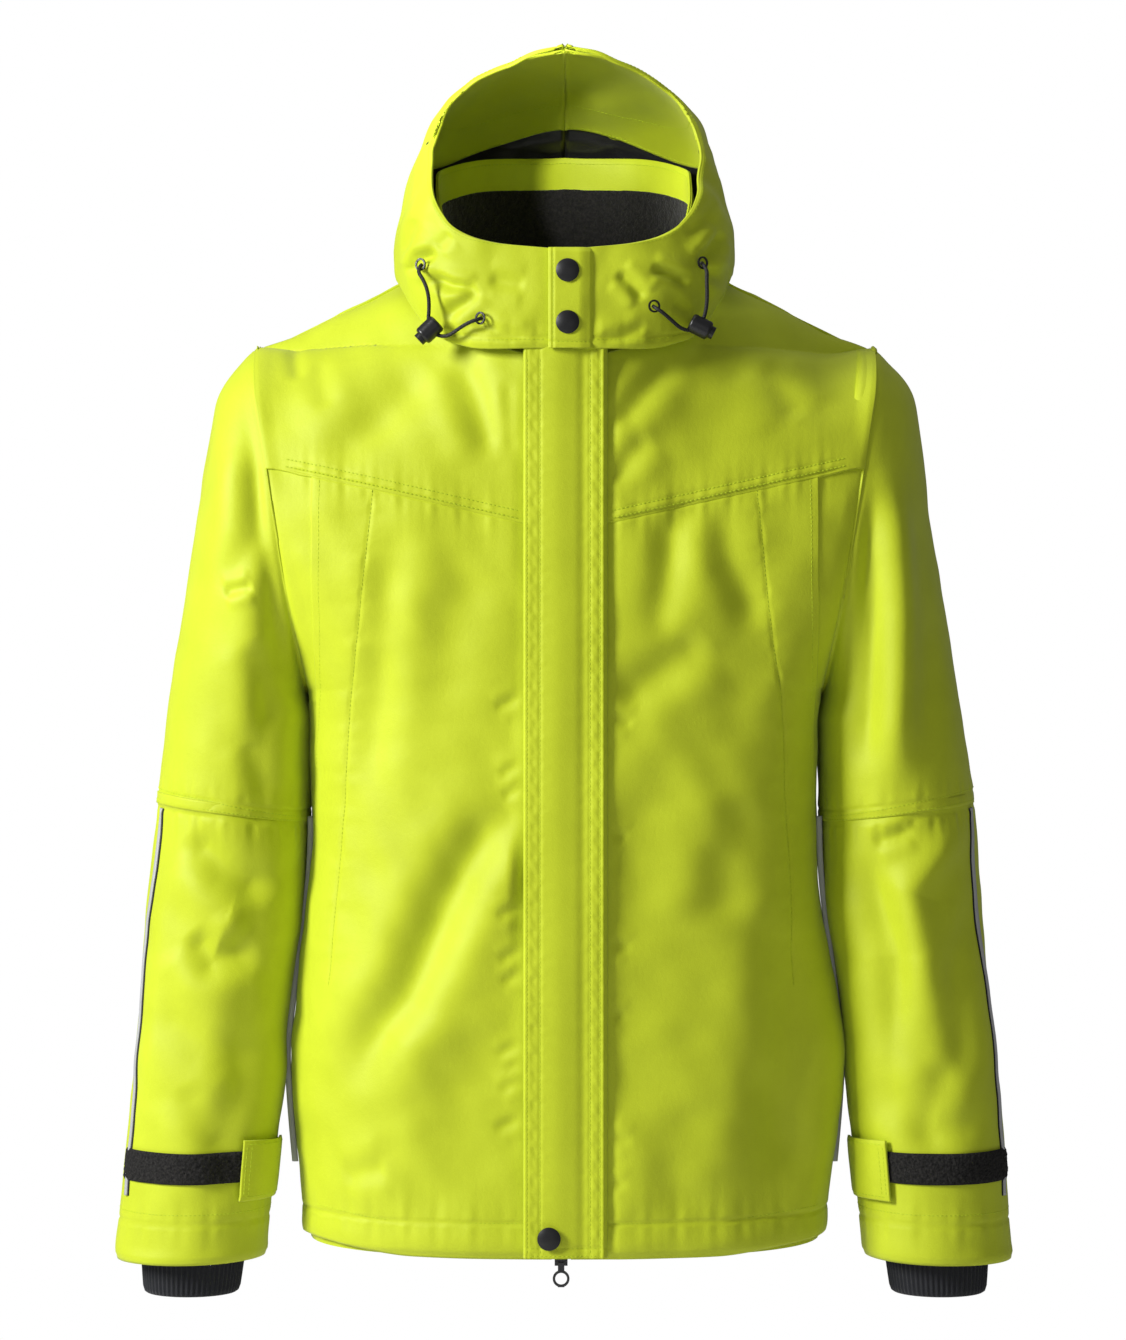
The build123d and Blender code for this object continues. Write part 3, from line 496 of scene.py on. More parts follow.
def body_relief(points, normals):
    x, z = points[..., 0], points[..., 2]
    front = smooth(-0.25, 0.3, -normals[..., 1])
    back = 1 - front
    total = np.zeros(x.shape)
    for path, depth, width in FRONT_FOLDS:
        total += front * crease(x, z, path, depth, width)
    for path, depth, width in BACK_FOLDS:
        total += back * crease(x, z, path, depth, width)
    total += waves(points * (1, 1, 0.6), 3, 95) * 1.3 + waves(points, 4, 38) * 0.28
    beside_flap = smooth(30, 44, np.abs(x))
    total *= front * beside_flap + back
    # Seams: yoke, welt stitching, hem tunnel.
    yoke_gap = z - yoke_line(x)
    yoke_seam = (seam(yoke_gap - 1.0, x, 11, groove=1.5, pucker=0.9, reach=10)
                 + seam(yoke_gap - 8.5, x + 5, 12, groove=0.5, pucker=0.3, reach=5))
    total += front * beside_flap * smooth(222, 204, np.abs(x)) * yoke_seam
    welt = np.abs(x) - along(WELT_INNER, z)
    below_yoke = smooth(0, 6, -yoke_gap)
    welt_seed = 13 + (x[0, 0] > 0 if x.ndim > 1 else 0)
    total += (front * below_yoke * smooth(-545, -530, z)
              * seam(welt, z, welt_seed, groove=0.6, pucker=0.8, reach=7, pitch=22))
    total += seam(z - (HEM_Z + HEM_TUNNEL), x, 15, groove=1.3, pucker=0.9, reach=12, pitch=17)
    total += 1.4 * np.exp(-((z - HEM_Z - 13) / 10.0) ** 2)
    near_edge = smooth(-3, 12, z - HEM_Z)
    total = total * (0.35 + 0.65 * near_edge) - 3.0 * (1 - smooth(0, 7, z - HEM_Z))
    from_armhole = -armhole_distance(points)
    total *= np.where(z > -320, smooth(-2, 14, from_armhole), 1)
    total -= np.where(z > -312, 0.5 * np.exp(-(from_armhole / 2.5) ** 2), 0)
    return total + shoulder_fullness(points, normals)


def sleeve_relief(mirror_sign, lower):
    folds = SLEEVE_FOLDS_LEFT if mirror_sign > 0 else SLEEVE_FOLDS_RIGHT

    def relief(points, normals):
        x, z = points[..., 0], points[..., 2]
        front = smooth(-0.3, 0.3, -normals[..., 1])
        total = np.zeros(x.shape)
        for path, depth, width in folds:
            total += front * crease(x, z, path, depth, width)
        for path, depth, width in SLEEVE_BACK:
            total += (1 - front) * crease(np.abs(x), z, path, depth, width)
        total += waves(points * (1, 1, 0.5), 21 + int(mirror_sign), 100) * 1.2 + waves(points, 23, 34) * 0.2
        girth = np.arctan2(points[..., 1] + 90, np.abs(x) - 275) * 60
        if lower:
            above = z - elbow_height(x)
            total += seam(above + 2, girth, 31, groove=0.4, pucker=1.2, reach=10, pitch=13)
            hem = lower_hem(x)
            total += seam(z - hem - 32, girth, 32, groove=1.0, pucker=0.9, reach=9, pitch=14)
            total *= 0.4 + 0.6 * smooth(0, 14, z - hem)
            total -= 2.0 * (1 - smooth(0, 6, z - hem))
            total *= smooth(3, -3, above)
        else:
            above = z - elbow_height(x)
            total += seam(above - 10, girth, 33, groove=0.7, pucker=0.9, reach=7, pitch=13)
            total = total * (0.3 + 0.7 * smooth(1, 11, above)) * smooth(0, 16, armhole_distance(points))
            total += shoulder_fullness(points, normals)
            total -= 0.5 * np.exp(-(armhole_distance(points) / 2.5) ** 2)
        inner = smooth(0.5, 0.95, -normals[..., 0] * mirror_sign)
        return total + 5.0 * inner * smooth(-306, -335, z) * smooth(-670, -600, z)
    return relief


def lower_hem(x):
    """Height of the sleeve's hem."""
    share = np.clip((np.abs(x) - 238) / 124, 0, 1)
    return -763 - 2 * share


def armhole_distance(points):
    """Distance outward from the plane of the armhole."""
    return ((np.abs(points[..., 0]) - 250) * ARMHOLE_OUTWARD[0]
            + (points[..., 2] + 41) * ARMHOLE_OUTWARD[2])


# ---------------------------------------------------------------- mesh makers
def surface(at, u, v, relief, core, lift=0.0, step=(0.4, 0.4)):
    """Points and outward normals of a base surface with its relief, at arrays of places."""
    u, v = np.broadcast_arrays(np.asarray(u, float), np.asarray(v, float))
    base = at(u, v)
    du = at(u + step[0], v) - at(u - step[0], v)
    dv = at(u, v + step[1]) - at(u, v - step[1])
    normal = np.cross(du, dv)
    normal /= np.maximum(np.linalg.norm(normal, axis=-1, keepdims=True), 1e-9)
    outward = base - core(base)
    sign = np.sign(np.sum(normal * outward, axis=-1, keepdims=True))
    normal *= np.where(sign == 0, 1, sign)
    rise = lift + (relief(base, normal) if relief else 0)
    return base + normal * np.asarray(rise)[..., None] if np.ndim(rise) else base + normal * rise, normal


def mesh_object(name, points, faces, material):
    mesh = bpy.data.meshes.new(name)
    mesh.from_pydata((points.reshape(-1, 3) / 1000).tolist(), [], faces)
    mesh.polygons.foreach_set("use_smooth", [True] * len(mesh.polygons))
    mesh.materials.append(material)
    mesh.update()
    obj = bpy.data.objects.new(name, mesh)
    scene.collection.objects.link(obj)
    return obj


def grid_object(name, points, normals, material, cyclic=False, thickness=1.3):
    """Sheet over a grid of points, thickened inward."""
    rows, columns = points.shape[:2]
    index = np.arange(rows * columns).reshape(rows, columns)
    a, b = index[:-1], index[1:]
    if cyclic:
        quads = np.stack([a, np.roll(a, -1, 1), np.roll(b, -1, 1), b], -1)
    else:
        quads = np.stack([a[:, :-1], a[:, 1:], b[:, 1:], b[:, :-1]], -1)
    quads = quads.reshape(-1, 4)
    p = points.reshape(-1, 3)
    n = np.cross(p[quads[:, 2]] - p[quads[:, 0]], p[quads[:, 3]] - p[quads[:, 1]])
    if np.sum(n * normals.reshape(-1, 3)[quads[:, 0]]) < 0:
        quads = quads[:, ::-1]
    obj = mesh_object(name, points, quads.tolist(), material)
    if thickness:
        solid = obj.modifiers.new("thickness", "SOLIDIFY")
        solid.thickness = thickness / 1000
        solid.offset = -1
        solid.use_rim = True
    return obj


def stitches(name, lines, material=THREAD, pitch=3.5, length=2.6, width=0.75, sink=0.1):
    """Rows of thread: each line is (points, normals)."""
    verts, faces = [], []
    ring = [(math.cos(t), math.sin(t)) for t in np.arange(6) * math.pi / 3]
    stations = [(-0.5, 0.45), (-0.3, 1.0), (0.3, 1.0), (0.5, 0.45)]
    for points, normals in lines:
        gaps = np.linalg.norm(np.diff(points, axis=0), axis=1)
        total = np.concatenate([[0], np.cumsum(gaps)])
        places = np.arange(pitch, total[-1] - pitch / 2, pitch)
        if not len(places):
            continue
        centre = np.stack([np.interp(places, total, points[:, k]) for k in range(3)], -1)
        ahead = np.stack([np.interp(places + 0.6, total, points[:, k]) for k in range(3)], -1)
        normal = np.stack([np.interp(places, total, normals[:, k]) for k in range(3)], -1)
        normal /= np.linalg.norm(normal, axis=1, keepdims=True)
        forward = ahead - centre
        forward /= np.maximum(np.linalg.norm(forward, axis=1, keepdims=True), 1e-9)
        across = np.cross(forward, normal)
        for c, f, a, n in zip(centre, forward, across, normal):
            start = len(verts)
            for place, scale in stations:
                lift = -sink + 0.15 * (1 - abs(place) * 2)
                for cos_t, sin_t in ring:
                    verts.append(c + f * place * length + a * cos_t * width / 2 * scale
                                 + n * (lift + sin_t * width * 0.4 * scale))
            for k in range(3):
                for j in range(6):
                    m = (j + 1) % 6
                    at = start + k * 6
                    faces.append((at + j, at + m, at + 6 + m, at + 6 + j))
            faces.append(tuple(start + j for j in range(5, -1, -1)))
            faces.append(tuple(start + 18 + j for j in range(6)))
    return mesh_object(name, np.array(verts), faces, material)


def body_core(p):
    return stack(p[..., 0] * 0.4, MID_Y, p[..., 2] - 20)


def finish_piece(obj, body, slot, *nodes):
    if isinstance(body, str):
        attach(obj, body)
    else:
        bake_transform(obj)
    if nodes:
        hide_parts(*nodes)
    return obj


# ---------------------------------------------------------------- body panels
SIGNS = ((1, "left"), (-1, "right"))


def body_grid(start, end, low, high, columns, rows, lift=0.0, spread=None):
    """Grid of (angle, z) between two angles (of z) and two heights (of x)."""
    p = np.linspace(0, 1, columns)[None, :]
    q = np.linspace(0, 1, rows)[:, None]
    p = p if spread is None else spread(p)
    nominal = low(120.0) + (high(120.0) - low(120.0)) * q
    angle = start(nominal) + (end(nominal) - start(nominal)) * p
    x = lateral(angle) * along(BODY_HALF_WIDTH, nominal)
    z = low(x) + (high(x) - low(x)) * q
    angle = angle + 0 * z
    return surface(body_point, angle, z, body_relief, body_core, lift)


def hem_low(x):
    return HEM_Z + 8 * smooth(120, 212, np.abs(x))


for sign, side in SIGNS:
    edge_x = 7.5 - 3 * sign
    points, normals = body_grid(lambda z: sign * front_angle(edge_x, z),
                                lambda z: sign * (along(WELT_ANGLE, z) + 0.3), hem_low,
                                lambda x: yoke_line(x) + 1.0, 120, 330)
    panel = grid_object("front_panel_cloth_" + side, points, normals, LIME)
    finish_piece(panel, "torso", "shell_fabric", "front_panel_" + side)
    points, normals = body_grid(lambda z: sign * front_angle(edge_x, z), lambda z: sign * 89.9,
                                lambda x: yoke_line(x) - 0.5, lambda x: neckline(x, FRONT_NECK_Z) + 2,
                                170, 110, lift=0.8)
    yoke = grid_object("front_yoke_cloth_" + side, points, normals, LIME, thickness=2.2)
    finish_piece(yoke, "torso", "shell_fabric", "front_yoke_" + side)
    points, normals = body_grid(lambda z: sign * (along(WELT_ANGLE, z) - 1.2),
                                lambda z: sign * np.where(z > -311, 89.9, along(BACK_SEAM_ANGLE, z) + 0.6),
                                hem_low, lambda x: yoke_line(x) + 1.0, 90, 330, lift=-0.9)
    panel = grid_object("side_panel_cloth_" + side, points, normals, LIME)
    finish_piece(panel, "torso", "shell_fabric", "side_panel_" + side)
    z = np.linspace(-690, -412, 140)[:, None]
    stand = np.linspace(-1.5, 3.6, 10)[None, :]
    points = body_point(sign * 84.0 + 0 * z * stand, z + 0 * stand)
    points[..., 0] += sign * stand
    points[..., 1] -= 3.0 + 1.2 * np.sqrt(np.clip(1 - ((stand - 1) / 2.6) ** 2, 0, 1)) + 0 * z
    piping = grid_object("body_piping_tape_" + side, points, stack(0 * z * stand, -1, 0), REFLECT,
                         thickness=1.0)
    finish_piece(piping, "torso", "reflective", "body_piping_" + side)

points, normals = body_grid(lambda z: along(BACK_SEAM_ANGLE, z), lambda z: 360 - along(BACK_SEAM_ANGLE, z),
                            hem_low, lambda x: BACK_YOKE_Z + 1.0 + 0 * x, 190, 300)
finish_piece(grid_object("back_panel_cloth", points, normals, LIME), "torso", "shell_fabric", "back_panel")
points, normals = body_grid(lambda z: 90.1 + 0 * z, lambda z: 269.9 + 0 * z,
                            lambda x: BACK_YOKE_Z - 0.5 + 0 * x, lambda x: neckline(x, BACK_NECK_Z) + 2,
                            240, 100, lift=1.0)
finish_piece(grid_object("back_yoke_cloth", points, normals, LIME, thickness=2.2), "torso", "shell_fabric",
             "back_yoke")


# ---------------------------------------------------------------- sleeves
def mirrored(at, sign):
    return lambda u, v: at(u, v) * np.array([sign, 1, 1])


def elbow_bend(sign, side):
    """The stretch of sleeve that turns from the upper to the lower body."""
    return ("upper_sleeve_" + side, "lower_sleeve_" + side, (sign * 0.27, -0.09, -0.405),
            (sign * 0.27, -0.09, -0.52))


def sleeve_core(at, sign):
    def core(p):
        shape = p.shape[:-1]
        top, bottom = at(0.0, 0.0)[..., 2], at(0.0, 1.0)[..., 2]
        s = np.clip((top - p[..., 2]) / (top - bottom), 0, 1)
        return (at(np.zeros(shape), s) + at(np.full(shape, 180.0), s)) * 0.5 * np.array([sign, 1, 1])
    return core


for sign, side in SIGNS:
    angles = np.linspace(0, 360, 240, endpoint=False)[None, :]
    shares = np.concatenate([[-0.05, -0.03], np.linspace(-0.012, 0.06, 20),
                             np.linspace(0.07, 1.0, 130)])[:, None]
    at = mirrored(upper_cloth, sign)
    points, normals = surface(at, angles, shares, sleeve_relief(sign, False), sleeve_core(upper_point, sign),
                              step=(0.4, 0.003))
    upper = grid_object("upper_sleeve_cloth_" + side, points, normals, LIME, cyclic=True)
    normal = np.array(ARMHOLE_OUTWARD) * (sign, 1, 1)
    inside = np.array([sign * 0.250, -0.085, -0.041])
    finish_piece(upper, ("torso", "upper_sleeve_" + side, tuple(inside + normal * 0.001),
                         tuple(inside + normal * 0.016)), "shell_fabric", "upper_sleeve_" + side)
    at = mirrored(lower_cloth, sign)
    shares = np.linspace(-0.03, 1.0, 190)[:, None]
    points, normals = surface(at, angles, shares, sleeve_relief(sign, True), sleeve_core(lower_point, sign),
                              lift=-0.9, step=(0.4, 0.003))
    lower = grid_object("lower_sleeve_cloth_" + side, points, normals, LIME, cyclic=True, thickness=2.0)
    finish_piece(lower, elbow_bend(sign, side), "shell_fabric", "lower_sleeve_" + side)


def lower_surface(sign, angle, s, lift):
    at = mirrored(lower_cloth, sign)
    return surface(at, angle, s, sleeve_relief(sign, True), sleeve_core(lower_point, sign), lift - 0.9,
                   (0.4, 0.003))


def upper_surface(sign, angle, s, lift):
    at = mirrored(upper_cloth, sign)
    return surface(at, angle, s, sleeve_relief(sign, False), sleeve_core(upper_point, sign), lift,
                   (0.4, 0.003))


def block(start, end, low, high, columns, rows):
    return np.linspace(start, end, columns)[None, :] + np.zeros((rows, 1)), \
        np.linspace(low, high, rows)[:, None] + np.zeros((1, columns))


for sign, side in SIGNS:
    arm = elbow_bend(sign, side)
    # Black strip a little wider than the piping: painted shadow along both edges of the piping, in the zip
    # tape's colour.
    angle, s = block(22.6, 29.4, 0.004, 0.885, 10, 190)
    base = grid_object("sleeve_piping_painted_shadow_" + side, *lower_surface(sign, angle, s, 0.7), TAPE, thickness=1.0)
    finish_piece(base, arm, "zip_tape")
    angle, s = block(23.6, 28.4, 0.004, 0.885, 10, 190)
    points, normals = lower_surface(sign, angle, s, 1.0)
    points += normals * (1.3 * np.sqrt(np.clip(1 - np.linspace(-1, 1, 10) ** 2, 0, 1)))[None, :, None]
    strip = grid_object("sleeve_piping_tape_" + side, points, normals, REFLECT, thickness=0.8)
    finish_piece(strip, arm, "reflective", "sleeve_piping_" + side)
    # Loop tape round the front of the cuff, with a rolled edge, its hook pad and the tab.
    angle, s = block(22, 152, 0.80, 0.857, 130, 26)
    points, normals = lower_surface(sign, angle, s, 1.7)
    rounded = np.minimum(smooth(0, 0.12, np.linspace(0, 1, 26)),
                         smooth(0, 0.12, np.linspace(1, 0, 26)))[:, None]
    points += normals * (rounded * (1.0 + 0.25 * waves(points, 61, 2.6)))[..., None]
    tape = grid_object("cuff_loop_tape_cloth_" + side, points, normals, LOOPS, thickness=1.2)
    finish_piece(tape, arm, "hook_loop", "cuff_loop_tape_" + side)
    angle, s = block(132, 160, 0.798, 0.860, 30, 20)
    pad = grid_object("cuff_hook_pad_cloth_" + side, *lower_surface(sign, angle, s, 3.9), LOOPS,
                      thickness=1.2)
    finish_piece(pad, "cuff_tab_" + side, "hook_loop", "cuff_hook_pad_" + side)
    p, q = block(0, 1, 0, 1, 60, 44)
    angle = 127 + 53 * p
    s = 0.778 + 0.006 * p + (0.112 - 0.006 * p) * q
    points, normals = lower_surface(sign, angle, s, 6.0 + 0 * p)
    points += normals * (0.7 * np.sin(p * 3.1) - 2.2 * smooth(0.55, 1.0, p)
                         - 0.8 * np.maximum(np.exp(-(q / 0.05) ** 2),
                                            np.exp(-((1 - q) / 0.05) ** 2)))[..., None]
    tab = grid_object("cuff_tab_cloth_" + side, points, normals, LIME, thickness=2.2)
    finish_piece(tab, "cuff_tab_" + side, "shell_fabric", "cuff_tab_" + side)
    rows = [(points[3, 3:-3], normals[3, 3:-3]), (points[-4, 3:-3], normals[-4, 3:-3]),
            (points[3:-3, 3], normals[3:-3, 3]), (points[3:-3, 7], normals[3:-3, 7])]
    finish_piece(stitches("cuff_tab_thread_" + side, rows), "cuff_tab_" + side, "shell_fabric")
    # Rows of thread at the elbow and the sleeve's hem.
    around = np.linspace(0, 360, 400)
    rows = [upper_surface(sign, around, np.full(around.shape, share), 0.0) for share in (0.992, 0.964)]
    thread = stitches("elbow_thread_" + side, rows)
    finish_piece(thread, "upper_sleeve_" + side, "shell_fabric")
    rows = [lower_surface(sign, around, np.full(around.shape, 0.911), 0.0)]
    finish_piece(stitches("cuff_hem_thread_" + side, rows), "lower_sleeve_" + side, "shell_fabric")
    # Knitted inner cuff.
    turn = np.linspace(0, 2 * math.pi, 480, endpoint=False)[None, :]
    centre = (lower_point(0.0, 1.0) + lower_point(180.0, 1.0)) * 0.5
    profile = [(-700, 46, 42), (-745, 43, 38), (-765, 41, 35.5), (-780, 39.5, 33.5), (-788, 38.6, 32.5),
               (-792, 37.6, 31.6), (-793, 36.2, 30.2), (-791.5, 34.6, 28.6), (-785, 34, 28), (-740, 38, 33)]
    z = np.array([r[0] for r in profile])[:, None]
    rib = 0.55 * np.cos(turn * 60) * smooth(-793, -790, z)
    x = centre[0] + 4 * (z + 793) / -93.0 + (np.array([r[1] for r in profile])[:, None] + rib) * np.cos(turn)
    y = centre[1] + (np.array([r[2] for r in profile])[:, None] + rib) * np.sin(turn)
    points = stack(sign * x, y, z + 0 * turn)
    outward = stack(sign * np.cos(turn), np.sin(turn), 0 * turn) + 0 * points
    knit = grid_object("knit_cuff_cloth_" + side, points, outward, KNIT, cyclic=True, thickness=0)
    finish_piece(knit, "lower_sleeve_" + side, "knit_rib", "knit_cuff_" + side)


# ---------------------------------------------------------------- hood
HOOD_FOLDS = [
    ([(-124, 16), (-114, 27), (-100, 30)], 5.0, 5.0), ([(-106, 12), (-88, 4), (-68, 1)], 4.2, 4.2),
    ([(-66, 2), (-78, -10), (-94, -20)], 3.2, 5.0), ([(-60, 8), (-30, 3)], 2.0, 6),
     ([(-128, 34), (-118, 60)], 2.5, 6),
    ([(-74, -22), (-50, -34), (-26, -38)], 2.2, 5), ([(-100, 34), (-88, 44)], 1.5, 5),
    ([(-128, 62), (-116, 92), (-110, 118)], 1.8, 8), ([(-112, 118), (-104, 146)], 1.0, 8),
    ([(66, 17), (84, 12), (98, 6)], 4.0, 4.5), ([(40, 13), (52, 4), (62, -8)], 3.6, 5.0),
    ([(124, 50), (114, 34), (104, 22)], 5.0, 5.0), ([(108, 16), (124, 14), (134, 24)], 3.5, 5),
    ([(112, 96), (126, 76), (133, 58)], 3.0, 6), ([(118, 118), (128, 100), (133, 86)], 2.0, 6),
    ([(92, 44), (110, 58), (120, 78)], 2.6, 6), ([(66, -26), (46, -36), (24, -40)], 2.2, 5),
    ([(104, -14), (110, -28), (98, -38)], 2.4, 5), ([(84, -8), (98, -16)], 2.0, 4)]
HOOD_BACK_FOLDS = [([(-120, 60), (-60, 30), (0, 22)], 3, 11), ([(120, 56), (60, 26), (4, 20)], 3, 11),
                   ([(-90, 110), (-40, 84), (-10, 60)], 1.4, 14), ([(95, 108), (40, 80), (12, 62)], 1.4, 14)]


def hood_relief(points, normals):
    x, y, z = points[..., 0], points[..., 1], points[..., 2]
    front = smooth(-0.2, 0.5, -normals[..., 1])
    total = np.zeros(x.shape)
    for path, depth, width in HOOD_FOLDS:
        total += front * crease(x, z, path, depth, width)
    for path, depth, width in HOOD_BACK_FOLDS:
        total += (1 - front) * crease(x, z, path, depth, width)
    total += (waves(points, 41, 60) * 1.0 + waves(points, 42, 26) * 0.3) * smooth(12, 34, np.abs(x))
    total = np.where(z > 60, np.maximum(total, -1.3 - 2.5 * front), total)
    bottom = z - hood_bottom(np.degrees(np.arctan2(np.abs(x), 90 + y)))
    total += front * seam(bottom - 9, x, 43, groove=0.7, pucker=0.7, reach=6, pitch=11)
    total += seam(np.abs(x) + 0 * z, z, 44, groove=0.9, pucker=0.4, reach=6) * (1 - front)
    return total * (0.5 + 0.5 * smooth(0, 8, bottom)) - 1.4 * (1 - smooth(0, 4, bottom))


def hood_core(p):
    return stack(0 * p[..., 0], -110.0, p[..., 2] - 25)


def share_of(angle):
    return np.sin(np.radians(angle)) ** (2 / 3)


def hood_columns(end, back_columns, front_columns, split=105.0):
    """Angles of each row: even round the back, even in x across the front."""
    back = np.linspace(0, split, back_columns)[None, :] + 0 * end
    t = np.linspace(0, 1, front_columns + 1)[1:][None, :]
    share = share_of(split) + (share_of(end) - share_of(split)) * t
    return np.concatenate([back, 180 - np.degrees(np.arcsin(np.clip(share, 0, 1) ** 1.5))], axis=1)


hood_rows = np.concatenate([np.linspace(-46, 27, 60)[:-1], np.linspace(27, 50, 60)[:-1],
                            np.linspace(50, 176, 90)[:-1],
                            176 + 27 * np.sin(np.linspace(0, math.pi / 2, 40))])[:, None]
HOOD_BEND = ("torso", "hood", (0, -0.08, 0.022), (0, -0.08, 0.075))
for sign, side in SIGNS:
    angle = hood_columns(rim_angle(hood_rows), 80, 70)
    height = hood_rows + 0 * angle
    low = hood_bottom(angle)
    height = np.where(height < 40, low + (40 - low) * (height + 46) / 86, height)
    points, normals = surface(mirrored(hood_point, sign), angle, height, hood_relief, hood_core)
    # The cloth turns in at the rim.
    inset = np.linalg.norm(points - points[:, -1:], axis=-1)
    rolled = smooth(28, 34, hood_rows)
    points -= normals * (rolled * 1.6 * np.exp(-(inset / 2.0) ** 2))[..., None]
    across = hood_columns(rim_angle(np.array([[0.0]])) - 2.0, 20, 110)[0, 18:]
    up = np.concatenate([np.linspace(34, 60, 60), np.linspace(61, 196, 150)])
    beside_rim = rim_angle(up) - 2.2 - 1.5 * smooth(60, 34, up)
    rows = [surface(mirrored(hood_point, sign), across, hood_bottom(across) + 7.0, hood_relief, hood_core),
            surface(mirrored(hood_point, sign), beside_rim, up, hood_relief, hood_core)]
    finish_piece(stitches("hood_thread_" + side, rows, width=0.6), HOOD_BEND, "shell_fabric")
    shell = grid_object("hood_cloth_" + side, points, normals, LIME, thickness=2.2)
    finish_piece(shell, HOOD_BEND, "shell_fabric", "hood_crown_" + side, "hood_neck_" + side)

    def facing_edge(a):
        x = along(HOOD_HALF_WIDTH, 140) * np.sin(np.radians(a)) ** 0.9
        return 158 - 40 * np.clip(x / 107, 0, 1.1) ** 2

    top = HOOD_HALF_WIDTH[-1][0]
    q = np.sin(np.linspace(0, math.pi / 2, 110))[:, None]
    nominal = 110 + (top - 110) * q
    angle = hood_columns(rim_angle(nominal) - 0.5, 60, 20)
    low = facing_edge(angle)
    height = low + (top - low) * q
    angle = np.minimum(angle, rim_angle(height) - 0.5)

    def lining_relief(points, normals):
        return waves(points, 51, 60) * 0.5 - 0.9 * np.exp(-(points[..., 0] / 2.0) ** 2)

    points, normals = surface(mirrored(hood_point, sign), angle, height, lining_relief, hood_core,
                              lift=-2.9 - 1.9 * smooth(0, 25, rim_angle(height) - angle))
    facing = grid_object("hood_facing_cloth_" + side, points, normals, LIME, thickness=1.0)
    finish_piece(facing, HOOD_BEND, "shell_fabric", *(["hood_facing"] if sign > 0 else []))
    rows = [(points[k] - normals[k] * 1.1, -normals[k]) for k in (2, 26)]
    finish_piece(stitches("hood_facing_thread_" + side, rows, width=0.6), HOOD_BEND, "shell_fabric")
    q = np.linspace(0, 1, 80)[:, None]
    angle = hood_columns(rim_angle(64 + 75 * q) - 4, 60, 20)
    height = 64 + q * (96 - 40 * np.sin(np.radians(angle)) ** 2)

    def satin_relief(points, normals):
        return waves(points, 52, 34) * 0.5 - 0.5

    above_facing = height - 158 + 40 * np.sin(np.radians(angle)) ** 2
    points, normals = surface(mirrored(hood_point, sign), angle, height, satin_relief, hood_core,
                              lift=-2.3 - 2.6 * smooth(0, -8, above_facing))
    satin = grid_object("hood_lining_cloth_" + side, points, normals, SATIN, thickness=0.8)
    finish_piece(satin, HOOD_BEND, "lining_satin", *(["hood_lining"] if sign > 0 else []))


# ---------------------------------------------------------------- collar inside the hood
def collar_top(angle):
    return along([(0, 133), (40, 128), (70, 115), (88, 104), (100, 86), (110, 63), (122, 46), (150, 34),
                  (172, 28)], np.abs(angle))


def collar_low(angle):
    return along([(0, 6), (90, 30), (180, -50)], np.abs(angle))


def collar_sheet(name, low, high, lift, material, thickness, columns=260, rows=40, roll=0.0, relief=None):
    angle = np.linspace(-172, 172, columns)[None, :]
    q = np.linspace(0, 1, rows)[:, None]
    height = low(np.abs(angle)) + (high(np.abs(angle)) - low(np.abs(angle))) * q
    core = lambda p: stack(0 * p[..., 0], -95.0, p[..., 2])
    points, normals = surface(collar_point, angle + 0 * q, height, relief, core, lift)
    edge = roll * (np.exp(-((1 - q) / 0.10) ** 2))
    points += normals * (edge + 0 * angle)[..., None]
    return grid_object(name, points, normals, material, thickness=thickness), points, normals


def collar_waves(points, normals):
    return waves(points, 71, 70) * 1.2


collar = collar_sheet("collar_shell_cloth", collar_low, collar_top, 0.5, LIME, 1.2, relief=collar_waves)[0]
finish_piece(collar, "torso", "shell_fabric", "collar_shell")
fleece = collar_sheet("collar_fleece_cloth", collar_low, lambda a: collar_top(a) - 25, -2.2, FLEECE, 2.2,
                      relief=lambda p, n: collar_waves(p, n) + waves(p, 72, 5) * 0.2)[0]
finish_piece(fleece, "torso", "fleece", "collar_fleece")
band, points, normals = collar_sheet("collar_band_cloth", lambda a: collar_top(a) - 28,
                                     lambda a: collar_top(a) + 0.5, -1.6, LIME, 1.4, roll=1.0,
                                     relief=collar_waves)
finish_piece(band, "torso", "shell_fabric", "collar_band")
inner_rows = [(points[k] - normals[k] * 1.5, -normals[k]) for k in (4, 33)]
finish_piece(stitches("collar_band_thread", inner_rows), "torso", "shell_fabric")


# ---------------------------------------------------------------- storm flap and chin flap
def flap_profile(x):
    """Depth of the storm flap across its width: full over the zip, with a dip before the sewn edge."""
    rise = np.minimum(smooth(-33.0, -30.6, x), smooth(33.2, 29.6, x))
    full = 1.6 * np.exp(-((x + 6) / 13) ** 2) - 1.3 * np.exp(-((x - 14.5) / 4.5) ** 2)
    return -206.2 - 4.4 * rise - full


def flap_relief(x, z):
    total = 0.5 * waves(stack(x, 0 * x, z * 0.5), 81, 60)
    for place, seed in zip(FLAP_STITCH_X, (82, 83, 84, 85)):
        total += seam(x - place, z + seed * 3, seed, groove=0.55, pucker=0.5, reach=5, pitch=12)
    for low, high in (FLAP_STITCH_X[:2], FLAP_STITCH_X[2:]):
        between = np.exp(-((x - (low + high) / 2) / 3.6) ** 2)
        puckers = np.sin((z + x * 1.2) / 1.9) + np.sin((z - x) / 3.1) + np.sin((z + x) / 4.7)
        total += 0.15 * between * puckers - 0.3 * between
    return total - 0.5 * np.exp(-((z + 742) / 1.4) ** 2)


def flap_surface(x, z):
    y = flap_profile(x) - flap_relief(x, z)
    points = stack(x, y, z)
    step = 0.5
    dydx = (flap_profile(x + step) - flap_profile(x - step)) / (2 * step)
    normals = stack(dydx, -1.0 + 0 * x, 0 * x)
    normals /= np.linalg.norm(normals, axis=-1, keepdims=True)
    return points, normals


